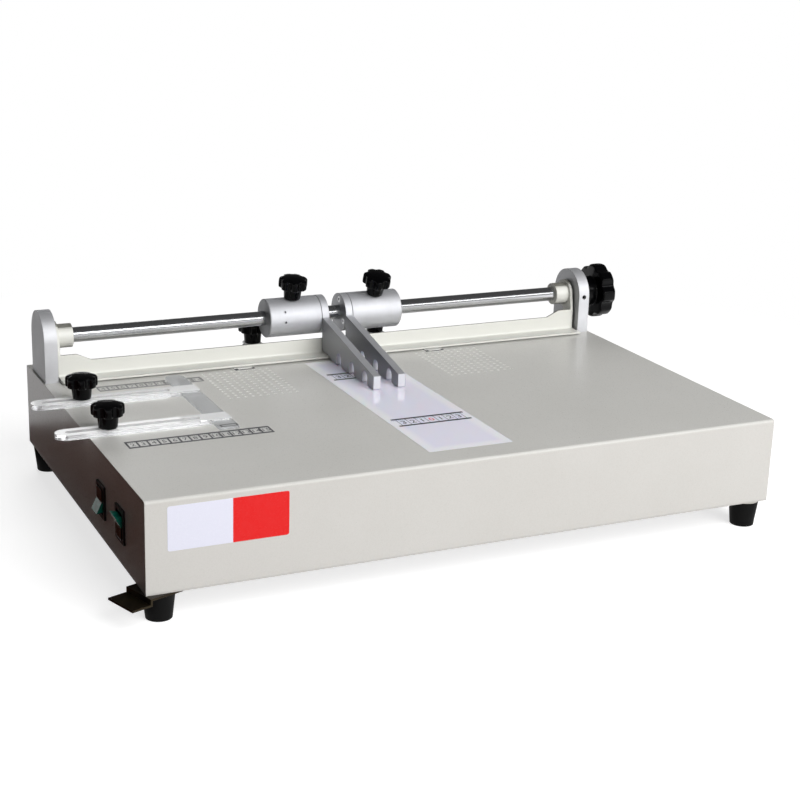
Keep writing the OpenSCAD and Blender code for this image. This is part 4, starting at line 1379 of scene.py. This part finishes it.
@dataclass
class ShaftAssembly(Assembly):
    """End plates, shaft, back rail and hand knob."""

    knob_start: float = 324.0
    knob: StarKnob = StarKnob(across=64.0, head=20.5, hub=17.5, hub_across=34.0, foot_across=34.0, lobes=8,
                              crown=4.0, flute=8.0, steps=14, reach_in=0.5)

    def dress(self, bench: Bench) -> None:
        """Gives the shaft's parts their finishes."""
        bench.dress(Finishes.ALUMINIUM, "left_end_plate", "right_end_plate")
        bench.dress(Finishes.BLACK_STEEL, "end_plate_screws", "bush_screw", "sleeve_screws")
        bench.dress(Finishes.BRONZE, "shaft_bushes")
        bench.dress(Finishes.CHROME, "shaft")
        bench.dress(Finishes.CREAM, "back_rail")

    def build(self, bench: Bench) -> None:
        """Models the hand knob and turns it onto the shaft's axis."""
        knob = self.knob.build("hand_knob_moulding", bench.material(Finishes.BLACK))
        place = Vector((self.knob_start, *SHAFT_AXIS)) * MM
        knob.data.transform(Matrix.Translation(place) @ Matrix.Rotation(math.pi / 2, 4, "Y"))
        bench.mount(knob, "shaft", ["hand_knob"])


@dataclass
class SpineArms(Assembly):
    """Collars, comb arms and their screws."""

    def dress(self, bench: Bench) -> None:
        """Gives the collars and arms their finishes."""
        bench.dress(Finishes.TURNED, "left_collar", "right_collar")
        bench.dress(Finishes.ARM, "left_arm", "right_arm")
        bench.dress(Finishes.STEEL, "left_arm_screws", "right_arm_screws")


@dataclass
class ClampKnobs(Assembly):
    """The six clamp knobs: one is modelled and the rest are its copies."""

    knob: StarKnob = StarKnob(across=32.0, head=13.5, hub=12.5, hub_across=20.0, foot_across=18.5, lobes=7,
                              crown=3.0, flute=4.2, stud_across=6.0, stud=17.1)
    gauge_foot: float = 119.6
    side_x: float = -305.0
    rear_y: float = 209.021
    collar_foot: float = 21.55
    collar_stud: float = 13.25
    clamp_x: Pair = (-43.5, 54.0)
    clamp_lean: Pair = (10.0, 20.0)

    def build(self, bench: Bench) -> None:
        """Models one knob and puts a copy of it on each clamp's body."""
        black, thread = bench.material(Finishes.BLACK), bench.material(Finishes.THREAD)
        model = self.knob.build("clamp_knob_model", black, thread)
        for name, x, y in (
            ("side_rear", self.side_x, SIDE_STRIP_Y[1]), ("side_front", self.side_x, SIDE_STRIP_Y[0]),
            ("rear_left", -REAR_STRIP_X, self.rear_y), ("rear_right", REAR_STRIP_X, self.rear_y),
        ):
            twin = own_copy(model, f"{name}_star_knob")
            twin.data.transform(Matrix.Translation(Vector((x, y, self.gauge_foot)) * MM))
            bench.mount(twin, f"{name}_clamp", [f"{name}_knob"])
        for name, x, lean in zip(("left", "right"), self.clamp_x, self.clamp_lean):
            twin = own_copy(model, f"{name}_star_knob")
            for point in twin.data.vertices:
                if point.co.z < -0.1 * MM:
                    point.co.z *= self.collar_stud / self.knob.stud
            axis = Matrix.Translation(Vector((x, *SHAFT_AXIS)) * MM)
            stand = axis @ Matrix.Rotation(math.radians(lean), 4, "X")
            twin.data.transform(stand @ Matrix.Translation((0, 0, self.collar_foot * MM)))
            bench.mount(twin, f"{name}_clamp", [f"{name}_clamp_knob"])
        bpy.data.objects.remove(model)


@dataclass
class ClearGauges(Assembly):
    """The clear side gauge and rear gauge, with polished faces and sawn edges."""

    level: float = 114.3
    thick: float = 5.0
    bar_thick: float = 3.0
    width: float = 20.0
    slot: float = 7.0
    soft: float = 0.35
    seam: float = 0.05
    overcut: float = 2.0
    strip_x: Pair = (-355.5, -205.0)
    lap: float = 19.0
    end_wall: float = 10.0
    bar_x: Pair = (-205.0, -185.0)
    bar_y: Pair = (-55.979, 125.021)
    rear_end: float = 223.021
    rear_bar_y: Pair = (161.021, 181.021)
    rear_slot: Pair = (6.0, 32.0)
    tongue_x: float = 113.0
    tongue_w: float = 22.0
    tongue_thick: float = 0.8
    tongue_tip: float = 127.021
    # corner_mark is the size of the painted shade on the tongues' front corners.
    corner_mark: float = 3.4
    frame_margin: Point = (2.0, 1.0, 0.6)
    frame_depth: float = 7.0
    frame_line: float = 1.3
    frame_thick: float = 0.06

    def _cutter(self, low: Point, high: Point) -> Piece:
        """Models a slot cutter with round ends, long along X.

        Args:
            low: Lowest corner.
            high: Highest corner.

        Returns:
            The cutter.
        """
        shaper = Shaper("slot_cutter").block(low, high)
        return shaper.along(Axis.Z).bevel((high[1] - low[1]) / 2 * NEARLY, 10).done()

    def _strip(self, name: str, length: float, slot: Pair) -> Shaper:
        """Models a slotted strip along X from the origin, with one round end and a stepped lap.

        Args:
            name: Name of the strip.
            length: Length up to the bar.
            slot: Start and end of the slot.

        Returns:
            The shaper of the strip.
        """
        half = self.width / 2
        low, high = -self.overcut, self.thick + self.overcut
        cutter = self._cutter((slot[0], -self.slot / 2, low), (slot[1], self.slot / 2, high))
        step = self.bar_thick + self.seam
        shaper = Shaper(name).block((0, -half, 0), (length - self.seam, half, self.thick))
        shaper.bisect((0, 0, step), (0, 0, 1))
        shaper.faces(lambda middle, normal: normal.x > SQUARE and middle.z > step)
        shaper.extrude((self.lap, 0, 0))
        shaper.along(Axis.Z, lambda middle: middle.x < 0.1).bevel(half * NEARLY, 12)
        return shaper.cut(cutter).soften(self.soft)

    def _finish(self, shaper: Shaper, bench: Bench, face: Finish, under: Finish,
                slot: Pair | None = None) -> Piece:
        """Gives a clear piece its faces and sawn edges.

        Args:
            shaper: Shaper of the piece.
            bench: The bench.
            face: Finish of the upper faces.
            under: Finish of the lower faces.
            slot: Start and end of a slot with duller walls, or None.

        Returns:
            The finished piece.
        """
        shaper.slots(*(bench.material(finish) for finish in (face, Finishes.EDGE, under, Finishes.BAR)))
        shaper.paint(1, lambda middle, normal: abs(normal.z) < SQUARE)
        shaper.paint(2, lambda middle, normal: normal.z < -SQUARE)
        if slot:
            start, end, half = slot[0] - self.seam, slot[1] + self.seam, self.slot / 2 + self.seam
            shaper.paint(3, lambda middle, normal: abs(normal.z) < SQUARE and abs(middle.y) < half
                         and start < middle.x < end)
        return self._flat(shaper.done())

    @staticmethod
    def _flat(piece: Piece) -> Piece:
        """Keeps the level faces of a clear piece flat, so that they don't bend the view.

        Args:
            piece: The piece.

        Returns:
            The same piece.
        """
        for face in piece.data.polygons:
            if abs(face.normal.z) > NEARLY:
                face.use_smooth = False
        return piece

    def build(self, bench: Bench) -> None:
        """Models both gauges and puts them on their bodies."""
        start, end = self.strip_x
        slot = (self.end_wall, end - start - self.end_wall)
        places = [Matrix.Translation(Vector((start, y, self.level)) * MM) for y in SIDE_STRIP_Y]
        self._strips(bench, "side_gauge", end - start, slot, places)
        bench.mount(self._side_bar(bench), "side_gauge", ["side_gauge_bar"])
        self._reading_frame(bench)
        turn = Matrix.Rotation(-math.pi / 2, 4, "Z")
        corners = [Vector((x, self.rear_end, self.level)) * MM for x in (-REAR_STRIP_X, REAR_STRIP_X)]
        places = [Matrix.Translation(corner) @ turn for corner in corners]
        self._strips(bench, "rear_gauge", self.rear_end - self.rear_bar_y[1], self.rear_slot, places)
        bench.mount(self._rear_bar(bench), "rear_gauge", ["rear_gauge_bar"])
        bench.dress(Finishes.ZINC, "gauge_nuts")

    def _strips(self, bench: Bench, gauge: str, length: float, slot: Pair, places: Sequence[Matrix]) -> None:
        """Models one strip of a gauge, copies it and puts both strips on the gauge's body.

        Args:
            bench: The bench.
            gauge: Name of the gauge's body.
            length: Length of a strip up to the bar.
            slot: Start and end of its slot.
            places: Where the two strips lie.
        """
        first = self._finish(self._strip("strip", length, slot), bench, Finishes.CLEAR, Finishes.EDGE, slot)
        strips = [first, own_copy(first, "strip_copy")]
        for strip, place in zip(strips, places):
            strip.data.transform(place)
        bench.mount(joined(strips, f"{gauge}_clear_strips"), gauge, [f"{gauge}_strips"])

    def _side_bar(self, bench: Bench) -> Piece:
        """Models the side gauge's cross bar, round at the rear.

        Args:
            bench: The bench.

        Returns:
            The bar.
        """
        low = (self.bar_x[0], self.bar_y[0], self.level)
        high = (self.bar_x[1], self.bar_y[1], self.level + self.bar_thick)
        shaper = Shaper("side_gauge_clear_bar").block(low, high)
        shaper.along(Axis.Z, lambda middle: middle.y > 0).bevel(self.width / 2 * NEARLY, 12).soften(self.soft)
        return self._finish(shaper, bench, Finishes.BAR, Finishes.BAR)

    def _reading_frame(self, bench: Bench) -> None:
        """Models the dark reading frame on the front end of the side bar."""
        left, right, front = self.frame_margin
        x0, x1 = self.bar_x[0] + left, self.bar_x[1] - right
        y0 = self.bar_y[0] + front
        top = self.level + self.bar_thick
        y1 = y0 + self.frame_depth
        shaper = Shaper("reading_frame").block((x0, y0, top), (x1, y1, top + self.frame_thick))
        shaper.ring(self.frame_line, ((x0 + x1) / 2, (y0 + y1) / 2, top))
        frame = shaper.slots(bench.material(Finishes.INK)).done()
        bench.mount(frame, "side_gauge")

    def _rear_bar(self, bench: Bench) -> Piece:
        """Models the rear gauge's cross bar with its two thin tongues, whose front corners carry painted
        shade.

        Args:
            bench: The bench.

        Returns:
            The bar.
        """
        half = self.tongue_x + self.tongue_w / 2
        inner = self.tongue_x - self.tongue_w / 2
        front, back = self.rear_bar_y
        low, high = (-half, front, self.level), (half, back, self.level + self.bar_thick)
        step = self.level + self.tongue_thick
        shaper = Shaper("rear_gauge_clear_bar").block(low, high)
        for x in (-inner, inner):
            shaper.bisect((x, 0, 0), (1, 0, 0))
        shaper.bisect((0, 0, step), (0, 0, 1))
        shaper.faces(lambda middle, normal: normal.y < -SQUARE and abs(middle.x) > inner and middle.z < step)
        shaper.extrude((0, self.tongue_tip - front, 0))
        # Painted shade: the tops of the tongues' front corners get dark ink for the shade at their edges.
        shade_reach = self.corner_mark
        for x in (half - shade_reach, inner + shade_reach):
            shaper.bisect((x, 0, 0), (1, 0, 0)).bisect((-x, 0, 0), (1, 0, 0))
        edge = self.tongue_tip + shade_reach
        shaper.bisect((0, edge, 0), (0, 1, 0))
        shaper.slots(bench.material(Finishes.TONGUE), bench.material(Finishes.INK))
        shaper.paint(1, lambda middle, normal: normal.z > SQUARE and middle.y < edge
                     and not inner + shade_reach < abs(middle.x) < half - shade_reach)
        return self._flat(shaper.done())


class Light(Enum):
    """What a lamp does to a surface."""

    FULL = "lights it and is mirrored in it"
    SOFT = "lights it and isn't mirrored"
    MIRRORED = "is only mirrored in it"


@dataclass(frozen=True)
class Lamp:
    """A rectangular studio lamp, in metres and watts."""

    name: str
    place: Point
    aim: Point
    size: Pair
    power: float
    light: Light = Light.FULL

    def hang(self) -> None:
        """Puts the lamp into the scene, out of the camera's sight."""
        data = bpy.data.lights.new(self.name, "AREA")
        data.shape = "RECTANGLE"
        data.size, data.size_y = self.size
        data.energy = self.power
        lamp = bpy.data.objects.new(self.name, data)
        lamp.location = self.place
        lamp.rotation_euler = (Vector(self.aim) - Vector(self.place)).to_track_quat("-Z", "Y").to_euler()
        lamp.visible_camera = False
        lamp.visible_glossy = self.light is not Light.SOFT
        lamp.visible_diffuse = self.light is not Light.MIRRORED
        bpy.context.scene.collection.objects.link(lamp)


@dataclass
class Studio:
    """Camera at the photograph's angle, soft lamps, pale floor and white surroundings."""

    target: Point = (12.88, 5.71, 103.14)
    azimuth: float = -25.601
    elevation: float = 17.477
    roll: float = 1.817
    distance: float = 1693.18
    lens: float = 73.43
    key_place: Point = (0.72, -2.4, 1.5)
    key_size: Pair = (2.2, 2.8)
    key_power: float = 122.0
    ahead: Point = (0.3, -2.4, 1.5)
    middle: Point = (0.0, 0.0, 0.1)
    rear: Point = (0.0, 0.1, 0.1)
    overhead_size: Pair = (1.6, 1.0)
    world_level: float = 0.04
    room_rise: float = 0.16
    room_dim: float = 0.07
    floor_size: float = 40.0
    floor_level: float = -0.0005
    floor_glow: float = 0.72
    floor_fade: Pair = (0.45, 1.0)
    floor_bounce: Colour = (0.085, 0.042, 0.034)
    card_area: Area = (-1.2, -0.6, -0.335, 0.36)
    card_level: float = 0.0002

    def camera(self) -> None:
        """Places the camera."""
        a, e, r = (math.radians(x) for x in (self.azimuth, self.elevation, self.roll))
        back = Vector((math.sin(a) * math.cos(e), -math.cos(a) * math.cos(e), math.sin(e)))
        right = Vector((0, 0, 1)).cross(back).normalized()
        up = back.cross(right)
        right, up = right * math.cos(r) + up * math.sin(r), up * math.cos(r) - right * math.sin(r)
        turn = Matrix((right, up, back)).transposed().to_4x4()
        data = bpy.data.cameras.new("camera")
        data.lens = self.lens
        data.sensor_width = 36.0
        data.clip_start = 0.05
        data.clip_end = 60.0
        camera = bpy.data.objects.new("camera", data)
        camera.matrix_world = Matrix.Translation((Vector(self.target) + back * self.distance) * MM) @ turn
        bpy.context.scene.collection.objects.link(camera)
        bpy.context.scene.camera = camera

    def lamps(self) -> tuple[Lamp, ...]:
        """Gives the lamps: a soft key and its mirrored twin, two overhead, and small ones for highlights.

        Returns:
            The lamps.
        """
        key = (self.key_place, self.middle, self.key_size, self.key_power)
        return (
            Lamp("key", *key, Light.SOFT),
            Lamp("metal_key", *key, Light.MIRRORED),
            Lamp("shaft_band", self.ahead, self.middle, (1.2, 1.0), 12.0),
            Lamp("knob_glint", self.ahead, self.middle, (0.35, 0.3), 9.0, Light.MIRRORED),
            Lamp("top", (0.0, 0.7, 2.3), self.rear, self.overhead_size, 4.0, Light.SOFT),
            Lamp("back", (0.4, 2.4, 1.6), self.rear, self.overhead_size, 26.0, Light.SOFT),
            Lamp("shaft_line", (1.65, -2.2, 1.45), (0.1, 0.1, 0.15), (1.7, 0.55), 8.0, Light.MIRRORED),
            Lamp("strip_glint", (0.27, 2.2, 0.85), (-0.28, 0.02, 0.12), (0.38, 0.16), 0.25),
        )

    @staticmethod
    def link(lamp: str, pieces: Iterable[str]) -> None:
        """Keeps a lamp's light to some of the pieces.

        Args:
            lamp: Name of the lamp.
            pieces: Names of the pieces that it lights.
        """
        group = bpy.data.collections.new(f"{lamp}_link")
        for piece in pieces:
            group.objects.link(bpy.data.objects[piece])
        bpy.data.objects[lamp].light_linking.receiver_collection = group

    def world(self) -> None:
        """Sets white surroundings that lend only a little light and are mirrored dimly overhead."""
        world = bpy.data.worlds.new("studio")
        bpy.context.scene.world = world
        nodes = Nodes(world, "Generated")
        room = nodes.span(nodes.part(Axis.Z), 0.0, self.room_rise, 1.0, self.room_dim, smooth=True)
        mirrored = nodes.math("MULTIPLY", nodes.rays("Is Glossy Ray", "Is Transmission Ray"), room)
        seen = nodes.math("MAXIMUM", nodes.rays("Is Camera Ray"), mirrored)
        light = nodes.add("ShaderNodeBackground")
        nodes.feed(light.inputs["Color"], WHITE)
        nodes.join(nodes.math("MAXIMUM", seen, self.world_level), light.inputs["Strength"])
        nodes.join(light.outputs[0], nodes.add("ShaderNodeOutputWorld").inputs["Surface"])

    def floor(self) -> None:
        """Lays a pale floor that keeps the machine's shadow, and is plain white further out."""
        deselect()
        bpy.ops.mesh.primitive_plane_add(size=self.floor_size, location=(0, 0, self.floor_level))
        floor = bpy.context.active_object
        floor.name = "floor"
        graph = Graph("pale_floor")
        seen = graph.rays("Is Camera Ray", "Is Glossy Ray", "Is Transmission Ray")
        far = graph.add("ShaderNodeVectorMath", operation="LENGTH")
        graph.join(graph.place, far.inputs[0])
        out = graph.span(far.outputs["Value"], *self.floor_fade)
        pale = graph.mix(graph.levels(graph.noise(400.0, 2.0)), (0.49, 0.49, 0.49), (0.51, 0.51, 0.51))
        colour = graph.mix(seen, self.floor_bounce, graph.mix(out, pale, UNLIT))
        glow = graph.math("MULTIPLY", seen, graph.span(out, 0.0, 1.0, self.floor_glow))
        graph.set(Base_Color=colour, Roughness=0.9, Specular_IOR_Level=0.0,
                  Emission_Color=WHITE, Emission_Strength=glow)
        floor.data.materials.append(graph.material)

    def card(self) -> None:
        """Lays a dark card beside the machine, which only darkens what its left side mirrors."""
        deselect()
        x0, y0, x1, y1 = self.card_area
        middle = ((x0 + x1) / 2, (y0 + y1) / 2, self.card_level)
        bpy.ops.mesh.primitive_plane_add(size=1.0, location=middle)
        card = bpy.context.active_object
        card.name = "dark_card"
        card.data.transform(Matrix.Diagonal((x1 - x0, y1 - y0, 1.0, 1.0)))
        graph = Graph("dark_card")
        brown = graph.mix(graph.levels(graph.noise(60.0)), tone(92, 50, 40), tone(100, 58, 46))
        graph.set(Base_Color=brown, Roughness=0.8, Specular_IOR_Level=0.0)
        card.data.materials.append(graph.material)
        card.visible_camera = False
        card.visible_shadow = False
        card.visible_diffuse = False

    def build(self) -> None:
        """Sets up the whole studio."""
        bpy.context.scene.view_settings.view_transform = "Standard"
        self.camera()
        self.world()
        self.floor()
        self.card()
        for lamp in self.lamps():
            lamp.hang()

    def link_lamps(self) -> None:
        """Keeps the key's mirror image to the metal and the knobs, and gives the shaft a lamp of its own."""
        sides = ("left", "right")
        parts = ("end_plate", "collar", "arm", "arm_screws")
        metal = [f"{side}_{part}" for side in sides for part in parts]
        places = (*sides, "side_rear", "side_front", "rear_left", "rear_right")
        knobs = [*(f"{place}_star_knob" for place in places), "hand_knob_moulding"]
        self.link("metal_key", (*metal, *knobs, "back_rail", "feet", "hold_down_lug"))
        self.link("knob_glint", knobs)
        self.link("shaft_band", ("shaft",))


def main() -> None:
    """Loads the frame, builds and dresses each sub-assembly and sets up the studio."""
    logging.basicConfig(level=logging.INFO, format="%(name)s: %(message)s")
    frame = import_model()
    bench = Bench(frame)
    studio = Studio()
    studio.build()
    assemblies: tuple[Assembly, ...] = (
        TableBody(), LightTable(), SuctionSystem(), ShaftAssembly(), SpineArms(), ClampKnobs(), ClearGauges(),
    )
    for assembly in assemblies:
        assembly.dress(bench)
        assembly.build(bench)
        LOG.info("%s is done", type(assembly).__name__)
    studio.link_lamps()


if __name__ == "__main__":
    main()
